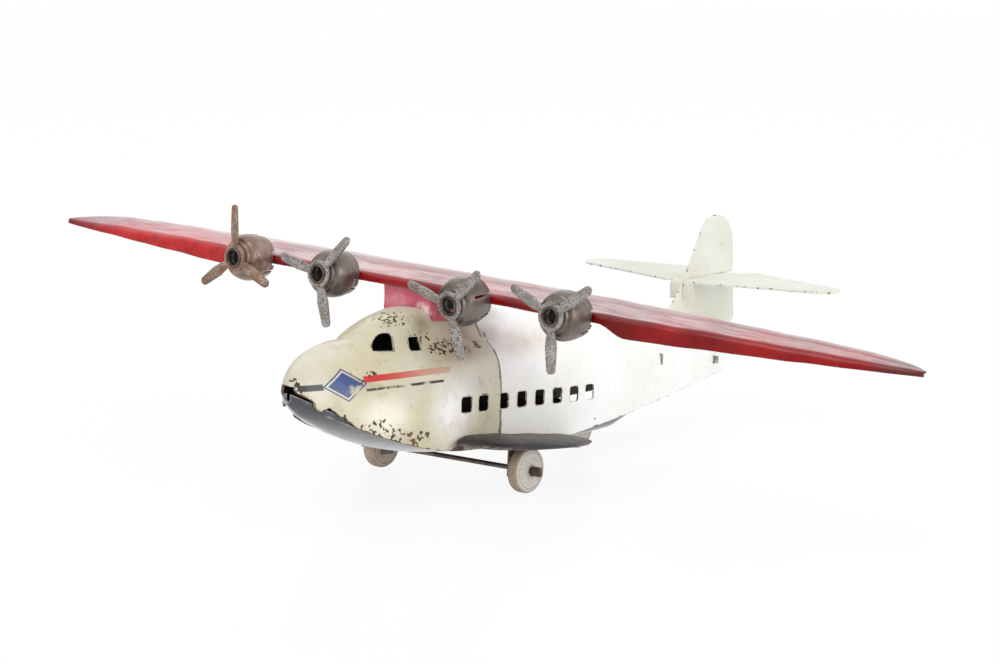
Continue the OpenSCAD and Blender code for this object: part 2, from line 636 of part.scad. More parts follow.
// Three blades stamped from one sheet, each turned about its own length.
module propeller(angle) {
    rotate([0, -angle, 0]) {
        facing_back() translate([0, 0, -prop_sheet / 2]) difference() {
            cylinder(d = hub_d, h = prop_sheet);
            translate([0, 0, -1]) cylinder(r = eyelet_d / 2 + prop_play, h = prop_sheet + 2);
        }
        for (k = [0 : 2]) rotate([0, -120 * k, 0]) rotate([-blade_pitch, 0, 0]) rotate([90, 0, 0])
            translate([0, 0, -prop_sheet / 2]) linear_extrude(prop_sheet) blade_outline();
    }
}
module blade_outline() {
    start = hub_d / 2 - 0.9;
    widest = start + 5;
    tip = prop_r - blade_tip_w / 2;
    difference() {
        union() {
            polygon([[start, -blade_root_w / 2], [widest, -blade_w / 2], [tip, -blade_tip_w / 2],
                [tip, blade_tip_w / 2], [widest, blade_w / 2], [start, blade_root_w / 2]]);
            translate([tip, 0]) circle(d = blade_tip_w);
        }
        circle(r = eyelet_d / 2 + prop_play);
    }
}

module cowl_outer_port() { color(steel) at_engine(outer_port) cowl(outer_port); }
module cowl_inner_port() { color(steel) at_engine(inner_port) cowl(inner_port); }
module cowl_inner_starboard() { color(steel) at_engine(inner_starboard) cowl(inner_starboard); }
module cowl_outer_starboard() { color(steel) at_engine(outer_starboard) cowl(outer_starboard); }
module eyelet_outer_port() { color(black) at_engine(outer_port) eyelet(); }
module eyelet_inner_port() { color(black) at_engine(inner_port) eyelet(); }
module eyelet_inner_starboard() { color(black) at_engine(inner_starboard) eyelet(); }
module eyelet_outer_starboard() { color(black) at_engine(outer_starboard) eyelet(); }
module propeller_outer_port() { color(steel) at_engine(outer_port) propeller(outer_port[3]); }
module propeller_inner_port() { color(steel) at_engine(inner_port) propeller(inner_port[3]); }
module propeller_inner_starboard() { color(steel) at_engine(inner_starboard) propeller(inner_starboard[3]); }
module propeller_outer_starboard() { color(rust) at_engine(outer_starboard) propeller(outer_starboard[3]); }

// Wheels, axles and what holds them stand level on the table.
hanger_x = track / 2 - wheel_w / 2 - 2.8;
hanger_w = 5;
module across(y) { translate([0, y - middle_y, wheel_r]) rotate([0, 90, 0]) children(); }
module wheel() {
    r = wheel_r;
    w = wheel_w / 2;
    rotate_extrude() polygon([[axle_d / 2 + wheel_play, -w - 0.2], [1.8, -w - 0.2], [2.2, -w + 0.1],
        [r - 1.5, -w + 0.1], [r - 1.2, -w], [r - 0.9, -w], [r - 0.3, -w + 0.35], [r, -w + 1], [r, w - 1],
        [r - 0.3, w - 0.35], [r - 0.9, w], [r - 1.2, w], [r - 1.5, w - 0.1], [2.2, w - 0.1], [1.8, w + 0.2],
        [axle_d / 2 + wheel_play, w + 0.2]]);
}
module front_wheel_port() { color(wood) translate([track / 2, 0, 0]) across(front_axle_y) wheel(); }
module front_wheel_starboard() {
    color(wood) translate([wheel_slide - track / 2, 0, 0]) across(front_axle_y) wheel();
}
module rear_wheel() { color(wood) across(rear_axle_y) wheel(); }

axle_half = track / 2 + wheel_w / 2 + 0.5;
module front_axle() {
    color(rust) across(front_axle_y) {
        cylinder(d = axle_d, h = 2 * axle_half, center = true);
        for (s = [-1, 1]) translate([0, 0, s * (axle_half + axle_end_l / 2)]) intersection() {
            cube([axle_end_h, 1.3, axle_end_l], center = true);
            cylinder(d = axle_end_h + 0.3, h = axle_end_l, center = true);
        }
    }
}
// Hangers fold out of the hull's sides, under the sponsons.
module hanger() {
    y = along_toy(front_axle_y, wheel_r);
    z = above_table(front_axle_y, wheel_r);
    root_z = min([for (x = [root_x, hanger_x]) for (s = [-1, 1]) sponson_under(x, y + s * hanger_w / 2)]) - 0.1;
    below_axle = 2.4;
    difference() {
        union() {
            translate([hanger_x - sheet / 2, y - hanger_w / 2, z - below_axle])
                cube([sheet, hanger_w, root_z - z + below_axle]);
            translate([root_x + 0.1, y - hanger_w / 2, root_z - sheet])
                cube([hanger_x - root_x, hanger_w, sheet]);
        }
        translate([hanger_x, y, z]) rotate([0, 90, 0]) cylinder(d = axle_d + 0.1, h = 4, center = true);
    }
}
module axle_hanger_port() { color(black) sit() hanger(); }
module axle_hanger_starboard() { color(black) sit() mirror([1, 0, 0]) hanger(); }

pin_d = 1.5;
bracket_w = wheel_w + 1.4 + 2 * sheet;
module rear_axle_pin() {
    color(rust) across(rear_axle_y) {
        cylinder(d = axle_d, h = bracket_w + 0.6, center = true);
        for (s = [-1, 1]) translate([0, 0, s * (bracket_w / 2 + 0.45)])
            cylinder(d = axle_d + 1, h = 0.5, center = true);
    }
}
module rear_wheel_bracket() {
    leg = 4;
    y = along_toy(rear_axle_y, wheel_r);
    z = above_table(rear_axle_y, wheel_r);
    top = z + wheel_r + 0.9;
    foot = max([for (e = [y - leg / 2, y + leg / 2]) trough_z(e, bracket_w / 2 / trough_w(e))])
        + sheet + 0.35;
    color(black) sit() difference() {
        union() {
            for (s = [-1, 1]) translate([s * (bracket_w - sheet) / 2, y, (foot + top) / 2])
                cube([sheet, leg, top - foot], center = true);
            translate([0, y, top - sheet / 2]) cube([bracket_w, leg, sheet], center = true);
        }
        translate([0, y, z]) rotate([0, 90, 0]) cylinder(d = axle_d + 0.1, h = 20, center = true);
    }
}

fuselage_front();
fuselage_rear();
hull_bottom();
sponson_port();
sponson_starboard();
pylon();
wing();
fin();
stabilizer();
tail_tie_front();
tail_tie_rear();
cowl_outer_port();
cowl_inner_port();
cowl_inner_starboard();
cowl_outer_starboard();
eyelet_outer_port();
eyelet_inner_port();
eyelet_inner_starboard();
eyelet_outer_starboard();
propeller_outer_port();
propeller_inner_port();
propeller_inner_starboard();
propeller_outer_starboard();
axle_hanger_port();
axle_hanger_starboard();
front_axle();
front_wheel_port();
front_wheel_starboard();
rear_wheel_bracket();
rear_axle_pin();
rear_wheel();
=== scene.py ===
import math

import bmesh
import bpy
import numpy as np
from mathutils import Matrix, Vector, kdtree


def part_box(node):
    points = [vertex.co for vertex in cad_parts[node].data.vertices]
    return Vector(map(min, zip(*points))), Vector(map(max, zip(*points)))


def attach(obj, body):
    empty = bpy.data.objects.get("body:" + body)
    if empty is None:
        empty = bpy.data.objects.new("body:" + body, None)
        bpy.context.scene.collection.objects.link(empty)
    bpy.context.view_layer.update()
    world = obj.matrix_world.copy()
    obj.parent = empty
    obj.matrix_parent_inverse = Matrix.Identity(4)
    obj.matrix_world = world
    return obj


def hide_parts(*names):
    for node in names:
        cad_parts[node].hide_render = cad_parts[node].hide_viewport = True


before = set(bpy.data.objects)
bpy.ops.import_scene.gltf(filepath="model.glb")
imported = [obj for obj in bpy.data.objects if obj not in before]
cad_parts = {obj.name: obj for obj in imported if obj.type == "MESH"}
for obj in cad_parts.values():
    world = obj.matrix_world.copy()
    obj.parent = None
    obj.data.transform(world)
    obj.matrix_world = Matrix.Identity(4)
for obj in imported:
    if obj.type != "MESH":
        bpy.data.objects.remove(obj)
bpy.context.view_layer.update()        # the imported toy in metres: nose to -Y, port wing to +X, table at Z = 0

scene = bpy.context.scene
mm = 0.001

# How the toy is built before it is set on its wheels, in mm and degrees
stance = {"noseUp": 4.5, "frontAxle": -38.5, "wingHeight": 57.9, "wingLean": 2.7, "sheet": 0.6, "gap": 0.1}
wheelLow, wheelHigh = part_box("front_wheel_port")
middleY = stance["frontAxle"] - (wheelLow.y + wheelHigh.y) / 2 / mm
toMetres = Matrix.Scale(mm, 4)


def moved(x, y, z):
    return Matrix.Translation((x, y, z))


def rotated(degrees, axis):
    return Matrix.Rotation(math.radians(degrees), 4, axis)


sitMatrix = moved(0, -middleY, 0) @ rotated(-stance["noseUp"], "X")
leanMatrix = moved(0, 0, stance["wingHeight"]) @ rotated(stance["wingLean"], "Y") @ moved(0, 0, -stance["wingHeight"])


def tone(red, green, blue):
    linear = [c / 12.92 if c <= 0.04045 else ((c + 0.055) / 1.055) ** 2.4
              for c in (red / 255, green / 255, blue / 255)]
    return (*linear, 1.0)


# Builds one material's or world's nodes. Sizes are in mm, on Object coordinates, and a colour that isn't
# a socket is (red, green, blue) from 0 to 255
class Brush:
    def __init__(self, owner):
        owner.use_nodes = True
        self.owner, self.tree = owner, owner.node_tree
        self.tree.nodes.clear()
        self.place = self.node("TexCoord").outputs["Object"]

    def node(self, kind, inputs=None, **settings):
        made = self.tree.nodes.new("ShaderNode" + kind)
        for key, value in settings.items():
            setattr(made, key, value)
        for key, value in (inputs or {}).items():
            if isinstance(value, bpy.types.NodeSocket):
                self.tree.links.new(value, made.inputs[key])
            else:
                made.inputs[key].default_value = value
        return made

    def mix(self, share, first, second):
        first, second = (tone(*c) if isinstance(c, tuple) else c for c in (first, second))
        return self.node("Mix", {0: share, 6: first, 7: second}, data_type="RGBA").outputs[2]

    def blend(self, share, first, second):
        return self.node("Mix", {0: share, 2: first, 3: second}, data_type="FLOAT").outputs[0]

    def maths(self, operation, value, *others):
        for other in others or (0.0,):
            value = self.node("Math", {0: value, 1: other}, operation=operation).outputs[0]
        return value

    def times(self, *values):
        return self.maths("MULTIPLY", *values)

    def minus(self, *values):
        return self.maths("SUBTRACT", *values)

    def most(self, *values):
        return self.maths("MAXIMUM", *values)

    def axes(self, vector):
        return self.node("SeparateXYZ", {0: vector}).outputs

    def ramp(self, value, low, high, outLow=0.0, outHigh=1.0):
        if low > high:
            low, high, outLow, outHigh = high, low, outHigh, outLow
        return self.node("MapRange", {"Value": value, "From Min": low, "From Max": high, "To Min": outLow,
                                      "To Max": outHigh}, interpolation_type="SMOOTHSTEP").outputs[0]

    def above(self, value, level, soft):
        return self.ramp(value, level, level + soft)

    def noise(self, size, detail, roughness=0.55, stretch=(1, 1, 1), shift=(0, 0, 0)):
        scaled = self.node("Mapping", {"Vector": self.place, "Location": shift,
                                       "Scale": [1 / size / mm * s for s in stretch]}).outputs[0]
        return self.node("TexNoise", {"Vector": scaled, "Scale": 1.0, "Detail": detail,
                                      "Roughness": roughness}).outputs["Fac"]

    # 1 in the middle of an ellipsoid, falling to 0 at its surface
    def spot(self, centre, radii, soft):
        offset = self.place
        for operation, values in (("SUBTRACT", centre), ("DIVIDE", radii)):
            offset = self.node("VectorMath", {0: offset, 1: [v * mm for v in values]}, operation=operation).outputs[0]
        reach = self.node("VectorMath", {0: offset}, operation="LENGTH").outputs["Value"]
        return self.ramp(reach, 1.0, 1.0 - soft)

    # 1 between two heights or distances in mm
    def band(self, value, low, high, soft):
        return self.times(self.ramp(value, (low - soft) * mm, low * mm),
                          self.ramp(value, (high + soft) * mm, high * mm))

    # Stains, and patches of painted light and shade, as (centre, radii, strength, tint), uneven like the patchy mask
    def paintStainsAndLight(self, colour, stainsAndPaintedLight, soft, patchy):
        for centre, radii, strength, tint in stainsAndPaintedLight:
            colour = self.mix(self.times(self.spot(centre, radii, soft), patchy, strength), colour, tint)
        return colour

    # Bare metal by the open edges, from the distance that measureRim keeps
    def rimWear(self, near, far, size):
        gap = self.node("Attribute", attribute_name="rimGap").outputs["Fac"]
        limit = self.ramp(self.noise(size, 4, 0.7), 0.35, 0.7, near, far)
        return self.ramp(self.minus(gap, limit), 0.12, -0.08)

    # One look lights the scene, the other is what the camera, mirrors and glass see
    def twoLooks(self, lighting, seen, share, output):
        rays = self.node("LightPath").outputs
        anySeen = self.most(rays["Is Camera Ray"], rays["Is Glossy Ray"], rays["Is Transmission Ray"])
        mixed = self.node("MixShader", {0: self.times(anySeen, share), 1: lighting.outputs[0], 2: seen.outputs[0]})
        self.node(output, {"Surface": mixed.outputs[0]})
        return self.owner

    def finish(self, colour, roughness, relief, depth=0.05, metal=0.0, coat=0.0, coatRoughness=0.1, specular=0.5):
        shader = self.node("BsdfPrincipled", {"Base Color": colour, "Roughness": roughness, "Metallic": metal,
                                              "Specular IOR Level": specular, "Coat Weight": coat,
                                              "Coat Roughness": coatRoughness})
        bump = self.node("Bump", {"Height": relief, "Strength": 0.6, "Distance": depth * mm})
        self.tree.links.new(bump.outputs[0], shader.inputs["Normal"])
        self.node("OutputMaterial", {"Surface": shader.outputs[0]})
        return self.owner


# Old cream enamel, yellowed over the bow, rusted through in specks, with a worn painted band. Some of its patches are
# painted light and shade, and the dark seam line is widened by painted shadow
def creamEnamel(name, look):
    brush = Brush(bpy.data.materials.new(name))
    _, along, up = brush.axes(brush.place)
    broad = brush.noise(26, 3)
    fine = brush.noise(5, 5, 0.62)
    paint = brush.mix(brush.ramp(broad, 0.36, 0.66), look["pale"], look["yellowed"])
    paint = brush.mix(brush.ramp(fine, 0.5, 0.78, 0, look["dirt"]), paint, look["grime"])
    paint = brush.paintStainsAndLight(paint, look["stainsAndPaintedLight"], 0.9, brush.ramp(fine, 0.3, 0.62, 0.45, 1.0))
    if look.get("band"):
        paint = paintedBand(brush, along, up, paint, look["band"])
    rust = brush.above(brush.noise(1.1, 2, 0.5, shift=(7.3, 1.9, 4.4)), look["lonely"], 0.02)
    specks, flakes = brush.noise(1.2, 1, 0.5), brush.noise(2.4, 5, 0.7, shift=(2.1, 5.2, 8.8))
    for marks, soft, areas in ((specks, 0.035, look["rusty"]), (flakes, 0.02, look["chips"])):
        for centre, radii, level in areas:
            limit = brush.ramp(brush.spot(centre, radii, 0.8), 0.0, 1.0, 0.95, level)
            rust = brush.most(rust, brush.above(brush.minus(marks, limit), 0.0, soft))
    rust = brush.most(rust, brush.rimWear(*look["rim"]))
    # A dark line on the rear shell just behind the front shell's lap edge, wider low down: a dark joint, widened by
    # painted shadow of the lap edge
    if look.get("seam"):
        turn = math.radians(stance["noseUp"])
        level = brush.minus(brush.times(along, math.cos(turn)), brush.times(up, math.sin(turn)))
        low, high, deep, share = look["seam"]
        below = brush.ramp(up, deep * mm, (deep - 1) * mm)
        edge = brush.most(brush.band(level, low, high, 0.15),
                          brush.times(brush.band(level, low, high + 0.35, 0.15), below))
        rust = brush.most(rust, brush.times(edge, share))
    colour = brush.mix(rust, paint, brush.mix(brush.ramp(fine, 0.35, 0.65), look["rustDark"], look["rustLight"]))
    scratches = brush.noise(2.2, 2, 0.5, stretch=(0.5, 0.06, 1.0))
    colour = brush.mix(brush.ramp(scratches, 0.7, 0.73, 0, look["scratches"]), colour, look["grime"])
    shine = brush.blend(rust, brush.ramp(fine, 0.3, 0.75, *look["gloss"]), 0.85)
    height = brush.minus(brush.times(fine, 0.35), rust)
    return brush.finish(colour, shine, height, 0.07, coat=look["coat"], specular=look["specular"])


# A lozenge and three stripes in worn blue, red and black paint
def paintedBand(brush, along, up, paint, look):
    worn = brush.above(brush.noise(6, 3, 0.6), look["wear"], 0.1)
    rubbed = brush.ramp(along, look["fadeTo"] * mm, look["fadeFrom"] * mm, 0.35, 1.0)
    spread = brush.maths("ADD", *(
        brush.maths("DIVIDE", brush.maths("ABSOLUTE", brush.minus(line, middle * mm)), half * mm)
        for line, middle, half in zip((along, up), look["lozenge"], look["lozengeSize"])))
    outline = brush.times(brush.ramp(spread, 1.3, 1.25), brush.ramp(spread, 1.12, 1.17))
    for shape in (brush.ramp(spread, 1.0, 0.96), outline):
        paint = brush.mix(brush.times(shape, worn), paint, look["blue"])
    for y1, y2, z1, z2, colour, fade in look["stripes"]:
        line = brush.times(brush.band(along, y1, y2, 0.15), brush.band(up, z1, z2, 0.12), rubbed if fade else worn)
        paint = brush.mix(line, paint, colour)
    return paint


frontLook = {
    "pale": (214, 209, 194), "yellowed": (200, 190, 158), "grime": (140, 126, 98), "dirt": 0.34,
    "rustDark": (56, 44, 30), "rustLight": (108, 86, 58),
    "stainsAndPaintedLight": [((4, -72, 53), (17, 17, 9), 0.7, (184, 174, 134)),
               # First patch on the next line: yellowed paint over the nose, darkened further as painted shade
               ((3, -108, 38), (13, 13, 13), 0.85, (194, 186, 158)), ((8, -97, 41), (9, 12, 6), 0.6, (198, 188, 158)),
               # This line and the first patch on the next: darker and redder patches on the deck under the wing's
               # front edge
               ((16, -54, 42), (10, 17, 5), 0.65, (170, 140, 118)), ((8, -46, 47), (14, 9, 5), 0.7, (146, 118, 96)),
               ((6, -62, 50), (9, 5, 4), 0.6, (120, 84, 74)), ((13, -91, 37), (7, 9, 4), 0.7, (160, 130, 112)),
               ((16, -84, 27), (9, 15, 8), 0.85, (248, 238, 222)),
               ((20, -60, 26), (9, 14, 14), 0.95, (250, 249, 246)),
               # Painted highlight: a pale streak along the bow's shoulder
               ((17, -66, 37), (6, 12, 2), 0.5, (232, 222, 200)),
               ((20.5, -58.5, 15.5), (4, 6, 3), 0.95, (92, 62, 48))],
    "rusty": [((4, -70, 53), (12, 11, 5), 0.53), ((10, -64, 47), (6, 8, 4), 0.56),
              ((14, -88, 23), (10, 22, 8), 0.56), ((3, -108, 37), (7, 4, 8), 0.52), ((17, -76, 20), (7, 16, 5), 0.52),
              ((14, -58, 43.5), (8, 14, 4), 0.53), ((13, -91, 38), (6, 8, 3), 0.52)],
    "chips": [((12.5, -59, 45), (6, 14, 4), 0.56), ((16, -52, 42), (5, 13, 3.5), 0.57),
              ((3.5, -69, 53.4), (8, 8, 2), 0.66), ((11.5, -86, 39.5), (4, 5, 1.8), 0.47),
              ((15, -76, 40), (5, 9, 3), 0.6), ((15, -44.5, 43), (5, 5, 2.5), 0.45), ((12, -94, 28), (6, 9, 3), 0.6),
              ((20.5, -58.5, 15), (3, 5, 2), 0.42), ((3, -109, 34), (5, 3, 5), 0.55)],
    "rim": (-0.1, 0.45, 2.4), "scratches": 0.2, "lonely": 0.73, "gloss": (0.3, 0.5), "coat": 0.25, "specular": 0.5,
    "band": {"wear": 0.41, "fadeFrom": -84, "fadeTo": -60, "lozenge": (-94.5, 37.2), "lozengeSize": (5.2, 3.6),
             "blue": (38, 66, 122),
             "stripes": [(-88.5, -60, 37.4, 39.0, (196, 44, 34), True),
                         (-88.5, -63, 35.0, 35.6, (60, 58, 54), False),
                         (-107, -101, 36.4, 38.0, (48, 46, 46), False)]}}
rearLook = dict(
    frontLook, pale=(246, 245, 242), yellowed=(240, 238, 230), grime=(196, 188, 174), dirt=0.12,
    stainsAndPaintedLight=[((12, -35, 45), (10, 10, 4), 0.75, (142, 114, 98)),
            # First patch on the next line: brown staining with a painted reflection of the red wing over it
            ((13, -21, 41), (9, 22, 7), 0.65, (208, 184, 168)), ((6, 30, 36), (14, 26, 5), 0.4, (246, 236, 218)),
            ((0, 92, 30), (10, 14, 14), 0.3, (208, 196, 190))],
    rusty=[((12, -36, 44), (9, 6, 4), 0.62), ((0, 66, 40), (6, 6, 4), 0.6), ((18, 10, 13), (6, 24, 3), 0.7)],
    chips=[((13, -38, 43), (4, 3, 2), 0.5)], seam=(-41.3, -40.55, 21.0, 0.85), scratches=0.12, lonely=0.765,
    gloss=(0.24, 0.4), coat=0.35, band=None, rim=(-0.35, 0.3, 2.6))
# The tail's cream is painted darker than the rear shell's, as painted shade on its upward faces
tailLook = dict(
    rearLook, pale=(230, 230, 222), yellowed=(222, 220, 206), dirt=0.2, seam=None,
    stainsAndPaintedLight=[((0, 68, 41.5), (4, 9, 1.8), 0.6, (186, 158, 112))],
    rusty=[((0, 72, 41.5), (4, 12, 1.5), 0.58), ((-12, 64, 62), (14, 6, 8), 0.72)],
    chips=[((0, 62, 60), (2, 3, 12), 0.56), ((20, 72, 52), (12, 4, 4), 0.64)], rustDark=(112, 92, 74),
    rustLight=(170, 150, 126), rim=(-0.8, 0.35, 1.8), coat=0.0, gloss=(0.6, 0.8), specular=0.12, scratches=0.15,
    lonely=0.74)


# Red enamel over steel: scuffed along the top, bare at the edges, with a painted sheen in pale streaks over its
# upward faces
def redEnamel(name, look):
    brush = Brush(bpy.data.materials.new(name))
    broad = brush.noise(20, 3)
    fine = brush.noise(3.4, 5, 0.66)
    streak = brush.noise(2.4, 4, 0.6, stretch=(0.16, 1.0, 1.0))
    colour = brush.mix(brush.ramp(broad, 0.35, 0.65), look["red"], look["deep"])
    colour = brush.mix(brush.ramp(fine, 0.52, 0.78, 0, look["haze"]), colour, look["chalk"])
    colour = brush.paintStainsAndLight(colour, look["stainsAndPaintedLight"], 0.7, brush.ramp(fine, 0.32, 0.6, 0.3, 1.0))
    facing = brush.axes(brush.node("NewGeometry").outputs["Normal"])[2]
    across = brush.axes(brush.place)[0]
    # Painted sheen: upward faces are painted pale in streaks, most of all to starboard, as a reflection of the white
    # room
    paintedSheen = brush.times(brush.ramp(facing, 0.9, 0.99),
                        brush.ramp(streak, 0.35, 0.65, look["paintedSheenStrength"], look["paintedSheenStrength"] * 0.5),
                        brush.ramp(across, 20 * mm, -50 * mm, 0.3, 1.0))
    colour = brush.mix(paintedSheen, colour, look["paintedSheenTint"])
    chips = brush.above(brush.noise(1.3, 3, 0.6, shift=(3, 8, 5)), look["chips"], 0.02)
    scuffed = brush.times(brush.above(streak, look["scuffs"], 0.05), 0.6)
    bare = brush.most(brush.rimWear(*look["rim"]), chips, scuffed)
    metal = brush.mix(brush.ramp(fine, 0.35, 0.65), look["bareDark"], look["barePale"])
    colour = brush.mix(bare, colour, metal)
    shine = brush.blend(bare, brush.ramp(fine, 0.3, 0.75, *look["gloss"]), 0.7)
    height = brush.minus(brush.times(fine, 0.3), bare)
    gleam = brush.times(brush.ramp(facing, 0.3, 0.95, look["faceCoat"], look["coat"]),
                        brush.ramp(streak, 0.4, 0.62, 1.0, look["dullStreak"]))
    return brush.finish(colour, shine, height, 0.02, coat=gleam, coatRoughness=0.07, specular=0.15)


wingLook = {
    "red": (150, 6, 8), "deep": (112, 6, 8), "chalk": (156, 56, 52), "haze": 0.2, "bareDark": (62, 42, 38),
    "barePale": (140, 116, 110), "scuffs": 0.68, "chips": 0.72,
    # First patch on the next line: painted light, a brighter red over the starboard half
    "stainsAndPaintedLight": [((-112, -50, 62), (70, 20, 14), 0.9, (206, 12, 16)),
               ((158, -40, 48), (14, 12, 8), 0.8, (70, 46, 42)),
               # Painted sheen: a pale lavender band over the rear of the wing's top
               ((-30, -31, 58), (170, 13, 30), 0.7, (230, 212, 222)),
               ((-40, -50, 62), (30, 14, 8), 0.3, (170, 96, 94)), ((-72, -57, 57), (12, 8, 3), 0.6, (176, 84, 90))],
    "rim": (-0.05, 0.26, 2.0), "gloss": (0.3, 0.5), "coat": 1.0, "faceCoat": 0.26, "dullStreak": 0.6,
    "paintedSheenStrength": 0.26, "paintedSheenTint": (212, 194, 204)}
# The pylon's red is painted much paler and pinker than the wing's, as painted light on a face that sits in the wing's
# shade
pylonLook = dict(
    wingLook, red=(212, 106, 120), deep=(192, 72, 86), chalk=(242, 192, 204), haze=1.0, scuffs=0.68,
    stainsAndPaintedLight=[((-4, -60, 55.5), (8, 8, 3), 0.7, (232, 170, 184)),
            ((5.2, -56.6, 53), (4.2, 5, 4.6), 1.0, (250, 226, 234))],
    gloss=(0.3, 0.5), rim=(-0.8, 0.3, 2.0), coat=0.3)


# Black lacquer worn to grey steel
def darkLacquer(name, look):
    brush = Brush(bpy.data.materials.new(name))
    broad = brush.noise(18, 3)
    fine = brush.noise(3, 5, 0.66)
    streak = brush.noise(1.8, 4, 0.6, stretch=(0.6, 0.14, 1.0))
    colour = brush.mix(brush.ramp(broad, 0.35, 0.65), look["dark"], look["grey"])
    colour = brush.mix(brush.ramp(fine, 0.5, 0.8, 0, look["dust"]), colour, look["pale"])
    bare = brush.most(brush.rimWear(*look["rim"]), brush.above(streak, look["scuffs"], 0.04))
    metal = brush.mix(brush.ramp(fine, 0.35, 0.65), look["rust"], look["steel"])
    colour = brush.mix(bare, colour, metal)
    shine = brush.ramp(fine, 0.3, 0.75, *look["gloss"])
    height = brush.minus(brush.times(fine, 0.3), bare)
    return brush.finish(colour, shine, height, coat=look["coat"], coatRoughness=0.12)


hullLook = {
    "dark": (28, 32, 42), "grey": (48, 52, 62), "pale": (140, 136, 130), "dust": 0.25, "rust": (74, 56, 44),
    "steel": (150, 146, 140), "scuffs": 0.73, "rim": (0.05, 0.4, 2.0), "gloss": (0.2, 0.38), "coat": 0.7}
sponsonLook = dict(
    hullLook, dark=(30, 27, 26), grey=(52, 44, 40), pale=(96, 84, 77), dust=0.45, scuffs=0.66,
    steel=(130, 120, 114), rim=(0.0, 0.5, 1.6), gloss=(0.38, 0.58), coat=0.05)


# Bare or plated steel that has dulled, pitted and rusted
def agedSteel(name, look):
    brush = Brush(bpy.data.materials.new(name))
    broad = brush.noise(look["patch"], 3)
    pits = brush.noise(look["pitSize"], 4, 0.62)
    fine = brush.noise(0.5, 3, 0.6)
    colour = brush.mix(brush.ramp(broad, 0.38, 0.62), look["steel"], look["dull"])
    pitted = brush.above(pits, look["pitLevel"], 0.08)
    rusted = brush.times(brush.above(broad, look["rustLevel"], 0.16), brush.ramp(fine, 0.3, 0.6))
    rusted = brush.most(rusted, brush.times(pitted, look["pitRust"]))
    colour = brush.mix(pitted, colour, look["pit"])
    colour = brush.mix(rusted, colour, look["rust"])
    metal = brush.ramp(rusted, 0.0, 1.0, look["metal"], 0.05)
    shine = brush.ramp(brush.maths("ADD", rusted, pitted), 0.0, 1.0, *look["gloss"])
    height = brush.minus(brush.times(fine, 0.25), pitted)
    return brush.finish(colour, shine, height, look["depth"], metal)


cowlLook = {
    "steel": (126, 116, 110), "dull": (102, 90, 83), "pit": (80, 66, 58), "rust": (98, 74, 60), "patch": 6,
    "pitSize": 0.7, "pitLevel": 0.6, "rustLevel": 0.58, "pitRust": 0.3, "metal": 0.75, "gloss": (0.34, 0.58),
    "depth": 0.04}
rustyCowlLook = dict(
    cowlLook, steel=(160, 136, 124), dull=(134, 110, 98), pit=(96, 78, 68), rust=(134, 102, 84), metal=0.55)
bladeLook = dict(
    cowlLook, steel=(178, 174, 171), dull=(152, 146, 141), pit=(104, 96, 90), rust=(122, 106, 94), patch=4,
    pitSize=0.42, pitLevel=0.5, rustLevel=0.62, pitRust=0.2, metal=0.5, gloss=(0.42, 0.7), depth=0.05)
rustyLook = dict(
    bladeLook, steel=(168, 146, 130), dull=(146, 116, 96), pit=(94, 74, 62), rust=(132, 94, 68), rustLevel=0.45,
    metal=0.3, pitRust=0.5)
eyeletLook = dict(cowlLook, steel=(108, 96, 88), dull=(70, 58, 50), pit=(44, 35, 30), rust=(58, 42, 32), patch=3)
axleLook = dict(cowlLook, steel=(112, 98, 90), dull=(86, 72, 64), pit=(60, 47, 40), rust=(82, 56, 44), patch=4)
tieLook = dict(cowlLook, steel=(168, 163, 158), dull=(130, 124, 118), patch=2, metal=0.5)
darkLook = dict(
    cowlLook, steel=(52, 44, 38), dull=(36, 30, 26), pit=(24, 20, 17), rust=(44, 32, 25), metal=0.1,
    gloss=(0.6, 0.8))
insideLook = dict(
    cowlLook, steel=(80, 74, 62), dull=(58, 52, 44), pit=(40, 34, 28), rust=(62, 46, 34), patch=12, metal=0.3,
    gloss=(0.55, 0.8))
# Pale steel of the window rims: bare cut edges, and a painted highlight along them
bareRimAndHighlightLook = dict(
    cowlLook, steel=(214, 211, 203), dull=(190, 182, 166), pit=(110, 92, 74), rust=(120, 92, 68), patch=3,
    metal=0.2, pitLevel=0.6, rustLevel=0.62, gloss=(0.35, 0.6), depth=0.03)


# Turned wood under worn off-white paint, with rings about its axle
def turnedWood(name, axleY, axleZ, look):
    brush = Brush(bpy.data.materials.new(name))
    _, along, up = brush.axes(brush.place)
    flat = brush.node("CombineXYZ", {1: along, 2: up}).outputs[0]
    fromAxle = brush.node("VectorMath", {0: flat, 1: (0, axleY, axleZ)}, operation="DISTANCE").outputs["Value"]
    fine = brush.noise(2.2, 5, 0.62)
    grain = brush.noise(1.0, 4, 0.6, stretch=(1.6, 0.3, 1.6))
    wobble = brush.maths("ADD", fromAxle, brush.times(fine, look["wobble"] * mm))
    rings = brush.maths("SINE", brush.times(wobble, math.tau / look["ringPitch"] / mm))
    groove = brush.band(fromAxle, *look["groove"], 0.12)
    tread = brush.ramp(fromAxle, look["treadFrom"] * mm, look["treadTo"] * mm)
    colour = brush.mix(brush.ramp(grain, 0.35, 0.68), look["paint"], look["aged"])
    colour = brush.mix(brush.ramp(rings, -0.2, 1.0, 0.0, 0.12), colour, look["ring"])
    colour = brush.mix(brush.times(groove, 0.6), colour, look["ring"])
    colour = brush.mix(brush.times(tread, brush.ramp(fine, 0.25, 0.55, 0.55, 1.0)), colour, look["tread"])
    hub = brush.ramp(fromAxle, 2.6 * mm, 1.2 * mm)
    colour = brush.mix(brush.times(hub, 0.6), colour, look["grease"])
    colour = brush.mix(brush.ramp(fine, 0.6, 0.75, 0, 0.6), colour, look["grease"])
    height = brush.maths("ADD", brush.times(rings, 0.3), grain)
    return brush.finish(colour, brush.ramp(grain, 0.3, 0.7, 0.5, 0.75), height, 0.06)


